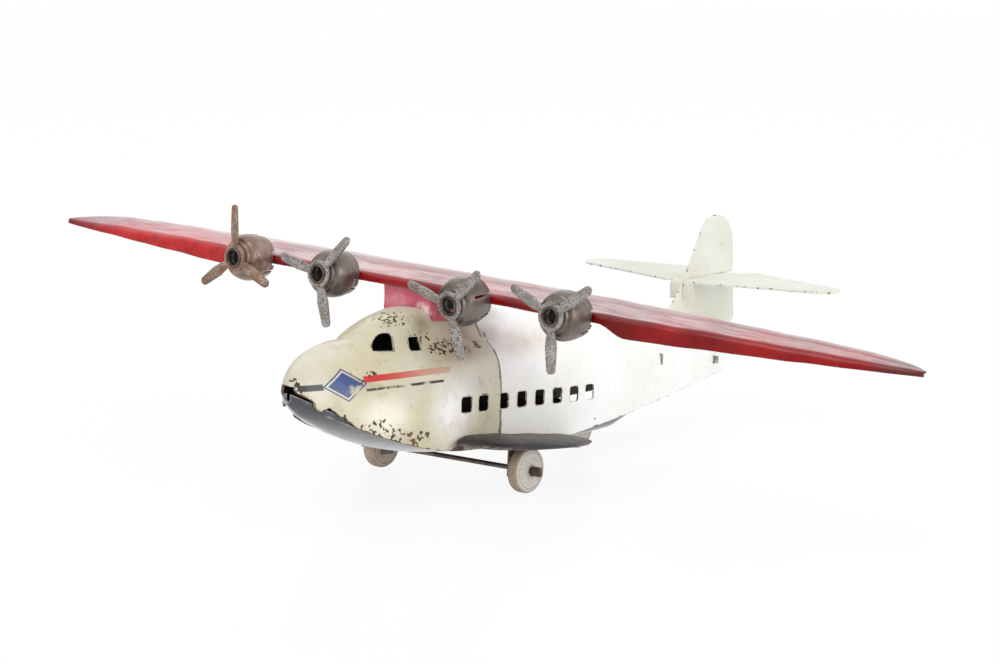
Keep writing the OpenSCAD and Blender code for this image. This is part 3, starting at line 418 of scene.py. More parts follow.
woodLook = {
    "paint": (216, 211, 203), "aged": (203, 195, 184), "ring": (158, 142, 128), "tread": (178, 152, 128),
    "grease": (124, 102, 88), "wobble": 0.35, "ringPitch": 1.25, "groove": (5.3, 5.5), "treadFrom": 6.0,
    "treadTo": 6.5}
# The starboard front wheel sits in the hull's and sponson's shadow; its wood is painted paler and warmer, as painted
# light bounced up from the table
paintedBounceLightWoodLook = dict(
    woodLook, paint=(244, 226, 208), aged=(232, 208, 186), tread=(206, 178, 152), ring=(176, 152, 132))

frontPaint, rearPaint, tailPaint = (creamEnamel("creamEnamel" + part, look) for part, look in
                                    (("Front", frontLook), ("Rear", rearLook), ("Tail", tailLook)))
wingPaint, pylonPaint = redEnamel("redEnamelWing", wingLook), redEnamel("redEnamelPylon", pylonLook)
hullPaint, sponsonPaint = darkLacquer("darkLacquerHull", hullLook), darkLacquer("darkLacquerSponson", sponsonLook)
(cowlMetal, rustyCowlMetal, bladeMetal, rustyBladeMetal, eyeletMetal, axleMetal, insideMetal, darkMetal, bareRimSteelAndHighlight,
 tieMetal) = (agedSteel(name, look) for name, look in (
    ("agedCowlSteel", cowlLook), ("rustyCowlSteel", rustyCowlLook), ("pittedBladeSteel", bladeLook),
    ("rustyBladeSteel", rustyLook), ("eyeletSteel", eyeletLook), ("rustyAxleSteel", axleLook),
    ("shellInsideSteel", insideLook), ("cowlInsideSteel", darkLook), ("pressedRimSteelAndHighlight", bareRimAndHighlightLook),
    ("tailTieSteel", tieLook)))
print("materials made")


def newObject(name, mesh, materials=()):
    made = bpy.data.objects.new(name, mesh)
    scene.collection.objects.link(made)
    for material in materials:
        mesh.materials.append(material)
    return made


# Points are in mm, and the matrix takes them to their place on the table
def newMesh(name, points, faces, matrix, edges=()):
    mesh = bpy.data.meshes.new(name)
    mesh.from_pydata(points, edges, faces)
    mesh.transform(toMetres @ matrix)
    return mesh


# Keeps what the modifiers make of a mesh
def evaluated(source, name):
    graph = bpy.context.evaluated_depsgraph_get()
    graph.update()
    mesh = bpy.data.meshes.new_from_object(source.evaluated_get(graph), depsgraph=graph)
    mesh.name = name
    source.modifiers.clear()
    source.data = mesh


def smoothed(made, sharpAngle):
    made.data.shade_smooth()
    made.data.set_sharp_from_angle(angle=math.radians(sharpAngle))


# Distance in mm from each vertex to the nearest open edge of the sheet
def measureRim(made, rimAngle=50.0):
    mesh = made.data
    work = bmesh.new()
    work.from_mesh(mesh)
    limit = math.radians(rimAngle)
    rim = {v.index for e in work.edges if len(e.link_faces) == 2 and e.calc_face_angle(0.0) > limit for v in e.verts}
    tree = kdtree.KDTree(max(1, len(rim)))
    for index in rim:
        tree.insert(mesh.vertices[index].co, index)
    tree.balance()
    gaps = [tree.find(v.co)[2] / mm for v in mesh.vertices] if rim else [99.0] * len(mesh.vertices)
    work.free()
    attribute = mesh.attributes.new("rimGap", "FLOAT", "POINT")
    attribute.data.foreach_set("value", gaps)


# Closed sheet between two grids of points, with walls along the grids' borders. With tips, the first
# row ends in one point on each grid
def sheetBetween(name, outer, inner, materials, matrix, tips=()):
    rows, cols = outer.shape[:2]
    total = rows * cols
    points = outer.reshape(-1, 3).tolist() + inner.reshape(-1, 3).tolist() + list(tips)
    a, b = np.arange(2 * total).reshape(2, rows, cols).tolist()
    faces = []
    for i in range(rows - 1):
        for j in range(cols - 1):
            faces += [(a[i][j], a[i + 1][j], a[i + 1][j + 1], a[i][j + 1]),
                      (b[i][j], b[i][j + 1], b[i + 1][j + 1], b[i + 1][j])]
    walls = len(faces)
    for i in range(rows - 1):
        faces += [(a[i][0], b[i][0], b[i + 1][0], a[i + 1][0]), (a[i][-1], a[i + 1][-1], b[i + 1][-1], b[i][-1])]
    for j in range(cols - 1):
        faces.append((a[-1][j], b[-1][j], b[-1][j + 1], a[-1][j + 1]))
        if not tips:
            faces.append((a[0][j], a[0][j + 1], b[0][j + 1], b[0][j]))
    if tips:
        outerTip, innerTip = 2 * total, 2 * total + 1
        for j in range(cols - 1):
            faces += [(outerTip, a[0][j], a[0][j + 1]), (innerTip, b[0][j + 1], b[0][j])]
        faces += [(outerTip, innerTip, b[0][0], a[0][0]), (outerTip, a[0][-1], b[0][-1], innerTip)]
    mesh = newMesh(name, points, faces, matrix)
    made = newObject(name, mesh, materials)
    if len(materials) > 1:
        mesh.polygons.foreach_set("material_index", [k % 2 if k < walls else 0 for k in range(len(faces))])
    outwards(made)
    return made


# Welds the seams and turns every face outwards
def outwards(made):
    work = bmesh.new()
    work.from_mesh(made.data)
    bmesh.ops.remove_doubles(work, verts=work.verts, dist=1e-7)
    bmesh.ops.recalc_face_normals(work, faces=work.faces)
    work.to_mesh(made.data)
    work.free()


# Prisms along X through both walls, from outlines of (y, z) points
def cutterAlongX(outlines, halfLength, matrix):
    points, faces = [], []
    for outline in outlines:
        start, count = len(points), len(outline)
        for x in (-halfLength, halfLength):
            points += [(x, y, z) for y, z in outline]
        faces.append(tuple(start + k for k in range(count)))
        faces.append(tuple(start + count + k for k in reversed(range(count))))
        faces += [(start + k, start + count + k, start + count + (k + 1) % count, start + (k + 1) % count)
                  for k in range(count)]
    made = newObject("cutter", newMesh("cutter", points, faces, matrix))
    outwards(made)
    return made


def boxCutter(centre, size, matrix):
    x, y, z = centre
    a, b, c = (s / 2 for s in size)
    return cutterAlongX([[(y - b, z - c), (y + b, z - c), (y + b, z + c), (y - b, z + c)]], a,
                        matrix @ moved(x, 0, 0))


def cutWith(made, cutters):
    for cutter in cutters:
        modifier = made.modifiers.new("cut", "BOOLEAN")
        modifier.operation = "DIFFERENCE"
        modifier.solver = "EXACT"
        modifier.object = cutter
    evaluated(made, made.data.name)
    for cutter in cutters:
        bpy.data.objects.remove(cutter, do_unlink=True)


def finishPiece(made, body, node):
    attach(made, body)
    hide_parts(node)


# A made sheet of the airplane, shaded and measured for its worn edges
def finishSheet(made, node, sharpAngle=50):
    smoothed(made, sharpAngle)
    measureRim(made)
    finishPiece(made, "airplane", node)


# Lines of the fuselage along the toy, in mm
shell = {
    "bow": -111.7, "stern": 100.0, "beam": 40.0, "tailWidth": 4.4, "edgeHeight": 9.6, "bowRise": 16.5,
    "tailRise": 13.4, "deckHeight": 41.0, "deckFall": 3.5, "cabinRise": 8.1, "cabinWidth": 25.6, "cabinRound": 3.2,
    "domeFront": -88.0, "domeRoof": (26, 1.55, 0.97), "domeSide": (27.5, 1.9, 0.35), "seam": -41.3, "lap": 4.0,
    "foreFrom": -58.0, "deckBluff": -85.0, "widest": -48.0, "taperFrom": -15.0, "roofPeak": -25.0, "roofFall": 1.8,
    "tornHeight": 3.6, "frontRows": 120, "rearRows": 130, "ringSteps": 72, "ripple": 0.07, "cutReach": 30}
sheet, gap = stance["sheet"], stance["gap"]


def clamp(value):
    return np.clip(value, 0.0, 1.0)


# How far a value has come from start to end, from 0 to 1
def shareAlong(value, start, end):
    return clamp((value - start) / (end - start))


def fore(y):
    return shareAlong(y, shell["foreFrom"], shell["bow"])


def aft(y):
    return shareAlong(y, shell["taperFrom"], shell["stern"])


def lowerEdge(y):
    sternRise = shell["tailRise"] * aft(y) ** 1.17 * (1.3 - 0.3 * aft(y))
    return shell["edgeHeight"] + shell["bowRise"] * fore(y) ** 1.75 + sternRise


def sideWall(y):
    bluff = shareAlong(y, shell["widest"], shell["bow"])
    return shell["beam"] / 2 * (1 - bluff ** 2) ** 0.75 - (shell["beam"] - shell["tailWidth"]) / 2 * aft(y) ** 1.7


def deckLine(y):
    bluff = shareAlong(y, shell["deckBluff"], shell["bow"])
    low = shell["edgeHeight"] + shell["bowRise"]
    return low + (shell["deckHeight"] - low) * (1 - bluff ** 2) ** 0.4 - shell["deckFall"] * aft(y)


def domeShare(y, length, n, m):
    return (1 - (1 - clamp((y - shell["domeFront"]) / length)) ** n) ** m


def roofLine(y):
    fall = shareAlong(y, shell["roofPeak"], shell["stern"])
    dome = shell["cabinRise"] * domeShare(y, *shell["domeRoof"])
    return shell["deckHeight"] + dome - (shell["cabinRise"] + shell["roofFall"]) * fall ** 1.1


def cabinSide(y):
    return np.minimum(shell["cabinWidth"] / 2 * domeShare(y, *shell["domeSide"]), sideWall(y) * 0.85)


# Distance from the axis to a rounded box's wall
def reach(angle, width, height, power):
    return ((np.cos(angle) / width) ** power + (np.sin(angle) / height) ** power) ** (-1 / power)


def shellReach(angle, y):
    power = 4.5 - 2.7 * (1 - (1 - fore(y)) ** 3) - 1.3 * aft(y)
    hull = reach(angle, sideWall(y), deckLine(y) - lowerEdge(y), power)
    cabin = reach(angle, np.maximum(0.01, cabinSide(y)), roofLine(y) - lowerEdge(y), shell["cabinRound"])
    cabin = np.where(y > shell["domeFront"], cabin, 0.01)
    return (hull ** 32 + cabin ** 32) ** (1 / 32)


# Lines moved to their right, as seen along their run
def insetLines(lines, distance):
    ahead = np.concatenate([lines[:, 1:], lines[:, -1:]], axis=1)
    behind = np.concatenate([lines[:, :1], lines[:, :-1]], axis=1)
    run = ahead - behind
    run /= np.maximum(np.linalg.norm(run, axis=2, keepdims=True), 1e-9)
    inset = lines.copy()
    inset[..., 0] += distance * run[..., 1]
    inset[..., 1] -= distance * run[..., 0]
    return inset


def withMirrored(half):
    return np.concatenate([half, half[:, -2::-1] * np.array([-1, 1])], axis=1)


# Rings across the shell at stations y, as (x, z), from the port edge over the roof
def shellRings(stations, outwardsBy):
    angle = np.radians(90) * (1 - (1 - np.linspace(0, 1, shell["ringSteps"] + 1)) ** 1.5)
    angle[-1] = np.radians(90)
    y = stations[:, None]
    r = shellReach(np.clip(angle, 1e-6, np.radians(90) - 1e-9)[None, :], y)
    half = np.stack([r * np.cos(angle), lowerEdge(y) + r * np.sin(angle)], axis=2)
    return insetLines(withMirrored(half), outwardsBy)


# Stations along the toy, closer together at the start
def stationsFrom(start, end, count, power):
    return start + (end - start) * (np.arange(1, count + 1) / count) ** power


def placedRings(rings, stations):
    y = np.broadcast_to(stations[:, None], rings.shape[:2])
    return np.stack([rings[..., 0], y, rings[..., 1]], axis=2)


# Slight waviness of hand-worked sheet, fading to nothing at the edges
def rippled(points, amount):
    x, y, z = points[..., 0], points[..., 1], points[..., 2]
    wave = (np.sin(y * 0.31 + z * 0.17 + 0.6) * np.sin(z * 0.29 - y * 0.11 + x * 0.05)
            + 0.6 * np.sin(y * 0.77 + 1.9) * np.sin(z * 0.53 + x * 0.21 + 2.2))
    fade = clamp((z - lowerEdge(y) - 3) / 6)
    outward = np.stack([np.tanh(x / 6), np.zeros_like(x), 0.3 * np.ones_like(x)], axis=2)
    return points + outward * (amount * wave * fade)[..., None]


bowLow = float(lowerEdge(np.array([shell["bow"]]))[0])


def fuselageShell(name, stations, outwardsBy, closed, materials):
    inY = stations + (sheet * fore(stations) ** 6 if closed else 0)
    outer = rippled(placedRings(shellRings(stations, outwardsBy), stations), shell["ripple"])
    inner = rippled(placedRings(shellRings(stations, outwardsBy - sheet), inY), shell["ripple"])
    tips = [(0, shell["bow"], bowLow), (0, shell["bow"] + sheet, bowLow)] if closed else ()
    return sheetBetween(name, outer, inner, materials, sitMatrix, tips)


# Windows, each an outline of (y, z) points. A row is its count, pitch and last place; sizes end with
# the corner's radius
window = {
    "rear": (6, 8.5, 3.6), "front": (2, 7.3, -49.0), "middle": 23.0, "size": (4.6, 4.8, 1.0),
    "rearPane": (-70.0, 40.4), "paneSize": (4.0, 4.0, 0.8), "slant": 0.2, "frontPaneBack": 9.1,
    "frontPaneRadius": 5.0, "frontPaneDrop": 1.9, "frontPaneStrip": 1.6}


def roundedOutline(y, z, length, height, corner, steps=8):
    points = []
    for k, (ySign, zSign) in enumerate(((1, 1), (-1, 1), (-1, -1), (1, -1))):
        for i in range(steps + 1):
            angle = math.radians(90 * k + 90 * i / steps)
            points.append((y + ySign * (length / 2 - corner) + corner * math.cos(angle),
                           z + zSign * (height / 2 - corner) + corner * math.sin(angle)))
    return points


def slanted(outline, middle):
    return [(y + window["slant"] * (z - middle), z) for y, z in outline]


def frontPaneOutline():
    y, z = window["rearPane"]
    y, z = y - window["frontPaneBack"], z - window["frontPaneDrop"]
    r, strip = window["frontPaneRadius"], window["frontPaneStrip"]
    arc = [(y + r * math.cos(math.radians(a)), z + r * math.sin(math.radians(a))) for a in range(90, 176, 5)]
    corner = [(y - r + 0.4 * (1 - math.cos(math.radians(a))), z + 0.4 - 0.4 * math.sin(math.radians(a)))
              for a in (0, 30, 60, 90)]
    back = [(-0.3, 0), (-0.08, 0.08), (0, 0.3), (0, r - 1.1), (-0.15, r - 0.55), (-0.5, r - 0.15), (-1.0, r)]
    return slanted(arc + corner + [(y + strip + a, z + b) for a, b in back], z)


def windowRow(count, pitch, last):
    return [roundedOutline(last - i * pitch, window["middle"], *window["size"]) for i in range(count)]


frontWindows, rearWindows = windowRow(*window["front"]), windowRow(*window["rear"])
rearPane = slanted(roundedOutline(*window["rearPane"], *window["paneSize"]), window["rearPane"][1])
frontOpenings = frontWindows + [rearPane, frontPaneOutline()]

tornEdge = [
    (-2, shell["tornHeight"]), (1.1, 3.0), (1.3, 2.1), (1.6, 1.2), (2.7, 0.6), (3.9, -0.1), (4.6, -0.4),
    (5.5, -1.3), (5.6, -2.7), (6.3, -3.1), (7.0, -3.9), (8.2, -2.9), (9.5, -2.5), (10.4, -3.4), (11.2, -3.9),
    (12.4, -5.2), (13.0, -5.4), (13.3, -4.6), (14.4, -6.2), (16.3, -8.0), (16.3, -10), (-2, -10)]
tornOutline = [(shell["bow"] + 0.8 + y, bowLow + z) for y, z in tornEdge]

frontStations = stationsFrom(shell["bow"], shell["seam"], shell["frontRows"], 1.6)
frontShell = fuselageShell("fuselageFrontShell", frontStations, sheet + gap, True, [frontPaint, insideMetal])
cutWith(frontShell, [cutterAlongX(frontOpenings + [tornOutline], shell["cutReach"], sitMatrix)])
finishSheet(frontShell, "fuselage_front", 62)

rearStations = np.linspace(shell["seam"] - shell["lap"], shell["stern"], shell["rearRows"])
rearShell = fuselageShell("fuselageRearShell", rearStations, 0.0, False, [rearPaint, insideMetal])
tailFit = {"sheet": 0.7, "slotGap": 0.15, "footHeight": 38.8, "reach": 33.0, "root": 8.0, "tieSheet": 0.5,
           "ties": [(-51.5, 30.2, 3.4), (-10.0, 27.0, 2.4)]}
finFront = shell["stern"] - tailFit["reach"]
tailCutters = [cutterAlongX(rearWindows, shell["cutReach"], sitMatrix),
               boxCutter((0, (finFront + shell["stern"]) / 2 + 0.4, tailFit["footHeight"] + 3),
                         (tailFit["sheet"] + 2 * tailFit["slotGap"], shell["stern"] - finFront + 1.4,
                          2 * tailFit["root"] + 2), sitMatrix)]
for y, z, height in tailFit["ties"]:
    tieSlot = (shell["beam"], tailFit["tieSheet"] + 2 * gap, height + 0.3)
    tailCutters.append(boxCutter((0, shell["stern"] + y, z), tieSlot, sitMatrix))
cutWith(rearShell, tailCutters)
finishSheet(rearShell, "fuselage_rear", 62)
print("fuselage shells made")


# Hull bottom: a trough whose edges stand up inside the shells
hull = {
    "setBack": 1.2, "keelDepth": 2.4, "keelSwell": 1.3, "end": 31.5, "flange": 1.8, "rows": 110, "across": 26,
    "slot": (5.6, 15.9, 40), "rearAxle": 23.2}


def keelDrop(y):
    depth = hull["keelDepth"] + hull["keelSwell"] * clamp(y / 20)
    return depth * clamp((y - shell["bow"]) / 7) ** 0.5 * clamp((hull["end"] + 0.4 - y) / 10) ** 0.5


def troughLines(stations):
    y = stations[:, None]
    width = sideWall(y) - sheet - 2 * gap
    t = np.linspace(1, 0, hull["across"])[None, :] ** 0.8
    fullness = 1.6 + 1.4 * clamp((y + 60) / 30) + 9 * clamp((y + 20) / 25)
    z = lowerEdge(y) - keelDrop(y) * (1 - t ** fullness)
    x = width * t
    lipHeights = lowerEdge(y) + hull["flange"] * np.array([[1, 0.7, 0.4, 0.15]])
    lip = np.stack([np.repeat(width, 4, axis=1), lipHeights], axis=2)
    return withMirrored(np.concatenate([lip, np.stack([x, z], axis=2)], axis=1))


hullStations = stationsFrom(shell["bow"] + hull["setBack"], hull["end"], hull["rows"], 1.35)
hullOuter = troughLines(hullStations)
hullBottom = sheetBetween("hullBottomPan", placedRings(hullOuter, hullStations),
                          placedRings(insetLines(hullOuter, sheet), hullStations + sheet * fore(hullStations) ** 6),
                          [hullPaint, insideMetal], sitMatrix)
turn = math.radians(stance["noseUp"])
wheelRadius = (wheelHigh.z - wheelLow.z) / 2 / mm
slotY = hull["rearAxle"] * math.cos(turn) - wheelRadius * math.sin(turn)
cutWith(hullBottom, [boxCutter((0, slotY, 0), hull["slot"], sitMatrix)])
finishSheet(hullBottom, "hull_bottom")

# Sponsons: domed stub wings, open below
sponson = {
    "middle": -33.7, "length": 54.0, "width": 16.6, "height": 10.5, "rise": 1.9, "pitch": 1.8, "rows": 40,
    "across": 30, "root": shell["beam"] / 2 + sheet + gap + 0.15}
sponsonMatrix = (sitMatrix @ moved(0, sponson["middle"], sponson["height"]) @ rotated(-sponson["pitch"], "X")
                 @ moved(0, -sponson["middle"], -sponson["height"]))


def sponsonGrid(thickness, sideSign):
    u = np.cos(np.radians(np.linspace(3, 90, sponson["rows"])))[:, None]
    v = np.sin(np.radians(np.linspace(-90, 90, 2 * sponson["across"] + 1)))[None, :]
    half = (sponson["length"] / 2 - thickness) * (1 - u ** 2.8) ** 0.42
    r = np.minimum(1, u * u + v * v * (1 - u * u))
    x = sponson["root"] + (sponson["width"] - thickness) * u + 0 * v
    y = sponson["middle"] + half * v
    z = sponson["height"] + sheet - thickness + sponson["rise"] * (1 - 0.55 * v) * np.maximum(0, 1 - r ** 3) ** 0.5
    z = z + 0.12 * np.sin(y * 0.4 + x * 0.3) * (1 - r)
    return np.stack([sideSign * x, y, z], axis=2)


for sideName, sideSign in (("port", 1), ("starboard", -1)):
    tipX = sponson["root"] + sponson["width"]
    tips = [(sideSign * tipX, sponson["middle"], sponson["height"] + sheet),
            (sideSign * (tipX - sheet), sponson["middle"], sponson["height"])]
    stub = sheetBetween("sponsonShell." + sideName, sponsonGrid(0.0, sideSign), sponsonGrid(sheet, sideSign),
                        [sponsonPaint], sponsonMatrix, tips)
    finishSheet(stub, "sponson_" + sideName)
print("hull bottom and sponsons made")

# Wing: one stamping with a turned-down front edge
wing = {
    "span": 330.0, "lead": -61.2, "chord": 29.0, "tipChord": 1.6, "sweep": 14.6, "flange": 2.9, "outerFlange": 5.9,
    "camber": 2.3, "droop": 1.8, "outerEngine": 61.5, "innerEngine": 25.5, "trailCurve": 2.6, "tipLength": 36.0,
    "tipFullness": 3.6, "noseRadius": 2.8, "tailDrop": 0.5, "stepLength": 9.0, "cowlWidth": 14.4, "columns": 220,
    "wave": 0.1, "tipTwist": 1.0, "tipFlange": 1.5, "taperFrom": 17}
halfSpan = wing["span"] / 2


def beyond(x, start):
    return shareAlong(x, start, halfSpan)


def leadLine(x):
    return wing["lead"] + wing["sweep"] * beyond(x, wing["outerEngine"])


def trailLine(x):
    rest = wing["chord"] - wing["trailCurve"] - wing["sweep"] - wing["tipChord"]
    return (wing["lead"] + wing["chord"] - wing["trailCurve"] * (x / halfSpan) ** 2
            - rest * beyond(x, halfSpan - wing["tipLength"]) ** wing["tipFullness"])


def droopAt(x):
    return wing["droop"] * beyond(x, wing["outerEngine"]) ** 1.3


def flangeDepth(x):
    t = clamp((x - wing["outerEngine"] - wing["cowlWidth"] / 2) / wing["stepLength"])
    grown = wing["flange"] + (wing["outerFlange"] - wing["flange"]) * t * t * (3 - 2 * t)
    return grown - (grown - wing["tipFlange"]) * beyond(x, wing["outerEngine"] + wing["taperFrom"]) ** 1.3


def crownHeight(x, t):
    length = trailLine(x) - leadLine(x)
    return (stance["wingHeight"] - droopAt(x) - 0.3 * wing["tailDrop"] * (1 - t)
            + wing["camber"] * length / wing["chord"] * math.sin(math.pi * t ** 0.8))


def wingSection(x):
    length = trailLine(x) - leadLine(x)
    flange = flangeDepth(x)
    radius = min(wing["noseRadius"], length / 3, flange * 0.85)
    top = stance["wingHeight"] - droopAt(x)
    line = [(trailLine(x), top - wing["tailDrop"] * (0.3 + 0.7 * length / wing["chord"]))]
    line += [(trailLine(x) - (length - radius) * i / 24, crownHeight(x, i / 24)) for i in range(25)]
    line += [(leadLine(x) + radius - radius * math.sin(math.radians(a)),
              top - radius + radius * math.cos(math.radians(a))) for a in range(10, 91, 10)]
    low = top - radius
    line += [(leadLine(x), low + (top - flange - low) * i / 6) for i in range(1, 7)]
    return line


stations = np.concatenate([np.linspace(0, halfSpan - wing["tipLength"], wing["columns"] // 2 - 24)[:-1],
                           halfSpan - wing["tipLength"] * (1 - np.linspace(0, 1, 25) ** 0.85)])
stations = np.concatenate([-stations[:0:-1], stations])
wingLines = np.array([wingSection(abs(float(x))) for x in stations])
wingInner = insetLines(wingLines, -sheet)


def waved(lines):
    y, z = lines[..., 0], lines[..., 1]
    x = np.broadcast_to(stations[:, None], y.shape)
    ease = clamp((halfSpan - np.abs(x)) / 30) * clamp((np.abs(x) - 14) / 10)
    wave = np.sin(x * 0.13 + 0.4) * np.sin(x * 0.051 + y * 0.09 + 1.1) + 0.5 * np.sin(x * 0.37 + y * 0.2)
    forward = clamp((stance["wingHeight"] - z - 1) / 3) * clamp((wing["lead"] + 22 - y) / 20)
    twist = wing["tipTwist"] * clamp((-x - 100) / 60) * (clamp((y - leadLine(np.abs(x))) / 14) - 0.5) * 2
    ripple = wing["wave"] * wave * ease
    return np.stack([x, y + 0.5 * wing["wave"] * wave * ease * forward, z + ripple + twist], axis=2)


wingSkin = sheetBetween("wingStamping", waved(wingLines), waved(wingInner), [wingPaint], sitMatrix @ leanMatrix)
finishSheet(wingSkin, "wing", 45)
print("wing made")


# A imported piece's own shape with its edges broken, for flat sheet and wire parts
def refined(node, name, body, material, edge, sharpAngle=40.0, cell=0.0):
    work = bmesh.new()
    work.from_mesh(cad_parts[node].data)
    bmesh.ops.remove_doubles(work, verts=work.verts, dist=2e-6)
    bmesh.ops.dissolve_limit(work, angle_limit=math.radians(1.0), verts=work.verts, edges=work.edges)
    mesh = bpy.data.meshes.new(name)
    work.to_mesh(mesh)
    work.free()
    made = newObject(name, mesh, [material])
    made.data.shade_smooth()
    bevel = made.modifiers.new("edges", "BEVEL")
    bevel.width = edge * mm
    bevel.segments = 2
    bevel.limit_method = "ANGLE"
    bevel.angle_limit = math.radians(sharpAngle)
    bevel.harden_normals = True
    evaluated(made, name)
    if cell:
        gridCut(made, cell)
    measureRim(made, 25.0)
    finishPiece(made, body, node)


# Splits large flats so that wear along edges has points to lie on
def gridCut(made, cell):
    work = bmesh.new()
    work.from_mesh(made.data)
    corners = [v.co for v in work.verts]
    for normal, low, high in zip(np.identity(3), np.min(corners, axis=0), np.max(corners, axis=0)):
        for cut in np.arange(low + cell * mm, high, cell * mm):
            bmesh.ops.bisect_plane(work, geom=work.verts[:] + work.edges[:] + work.faces[:],
                                   plane_co=[cut * n for n in normal], plane_no=normal)
    work.to_mesh(made.data)
    work.free()


for node, name, slotName, material, edge, cell in (
        ("fin", "finSheet", "tail_paint", tailPaint, 0.12, 1.6),
        ("stabilizer", "stabilizerSheet", "tail_paint", tailPaint, 0.12, 1.6),
        ("tail_tie_front", "tailTie.front", "axle_steel", tieMetal, 0.08, 0.0),
        ("tail_tie_rear", "tailTie.rear", "axle_steel", tieMetal, 0.08, 0.0),
        ("pylon", "pylonBox", "red_paint", pylonPaint, 0.1, 2.0),
        ("axle_hanger_port", "axleHanger.port", "dark_paint", sponsonPaint, 0.1, 0.0),
        ("axle_hanger_starboard", "axleHanger.starboard", "dark_paint", sponsonPaint, 0.1, 0.0),
        ("rear_wheel_bracket", "rearWheelBracket", "dark_paint", sponsonPaint, 0.1, 0.0),
        ("front_axle", "frontAxleWire", "axle_steel", axleMetal, 0.18, 0.0),
        ("rear_axle_pin", "rearAxlePin", "axle_steel", axleMetal, 0.1, 0.0)):
    refined(node, name, "airplane", material, edge, cell=cell)
print("tail, pylon and running gear made")

# Engines: drawn cowls, rolled eyelets and stamped propellers
engine = {
    "ahead": 10.2, "drop": 1.7, "bendFrom": wing["lead"] + 1, "cowlRadius": 7.2, "cowlLength": 12.0,
    "cowlTrim": 1.5, "cowlSheet": 0.5, "front": 0.75, "eyelet": 2.5, "bore": 2.1, "bladeSheet": 0.8, "turns": 96,
    "dents": 0.006, "eyeletTurns": 64, "slits": (35, 145), "slitSize": (0.7, 9), "split": (20.0, 0.7),
    "notch": 16.4}
cowlEnd = engine["front"] + engine["cowlLength"] - engine["cowlTrim"]
# Each engine's place along the wing, how far it is ahead of the others and its bend
engines = {"outer_port": (wing["outerEngine"], 0.0, 0.0), "inner_port": (wing["innerEngine"], 1.0, 10.0),
           "inner_starboard": (-wing["innerEngine"], 1.0, 0.0), "outer_starboard": (-wing["outerEngine"], 0.0, 0.0)}


def engineMatrix(x, ahead, bend):
    height = stance["wingHeight"] - engine["drop"]
    front = wing["lead"] - engine["ahead"] - ahead - engine["bendFrom"]
    return (sitMatrix @ leanMatrix @ moved(x, engine["bendFrom"], height) @ rotated(bend, "X")
            @ moved(0, front, 0) @ rotated(-90, "X"))


# A smooth closed profile of (radius, along) points: corners rounded by cutting them twice
def softened(profile, share=0.22):
    for _ in range(2):
        cut = []
        for k, point in enumerate(profile):
            after = profile[(k + 1) % len(profile)]
            cut.append([p + (a - p) * share for p, a in zip(point, after)])
            cut.append([a + (p - a) * share for p, a in zip(point, after)])
        profile = cut
    return profile


# A profile turned about its axis, dented if asked, with the second material on its inner side
def lathed(name, profile, turns, matrix, materials, squash=None, innerFrom=None):
    count = len(profile)
    points, faces = [], []
    for i in range(turns):
        angle = math.tau * i / turns
        a, b = i * count, (i + 1) % turns * count
        for j, (radius, height) in enumerate(profile):
            r = radius * (squash(angle, height) if squash else 1.0)
            points.append((r * math.cos(angle), r * math.sin(angle), height))
            faces.append((a + j, b + j, b + (j + 1) % count, a + (j + 1) % count))
    mesh = newMesh(name, points, faces, matrix)
    if innerFrom is not None:
        mesh.polygons.foreach_set("material_index",
                                  [int(innerFrom <= k % count < count - 1) for k in range(len(faces))])
    made = newObject(name, mesh, materials)
    outwards(made)
    return made


def cowlProfile():
    r, w, f = engine["cowlRadius"], engine["cowlSheet"], engine["front"]
    hole = engine["eyelet"] + 0.02
    outer = [(hole, f), (4.6, f), (4.9, f + 0.9), (5.6, f + 0.9), (6.1, f + 1.3), (r - 0.5, f + 2.6), (r, f + 4.4),
             (r - 0.1, f + 7.4), (r - 0.6, f + 8.2), (r - 0.8, cowlEnd)]
    inner = [(r - 0.8 - w, cowlEnd), (r - 0.6 - w, f + 8.2), (r - 0.1 - w, f + 7.2), (r - w, f + 4.4),
             (r - 0.5 - w, f + 2.9), (5.8, f + 1.7), (5.4, f + 0.9 + w), (4.5, f + 0.9 + w), (4.3, f + w),
             (hole, f + w)]
    return softened(outer + inner)


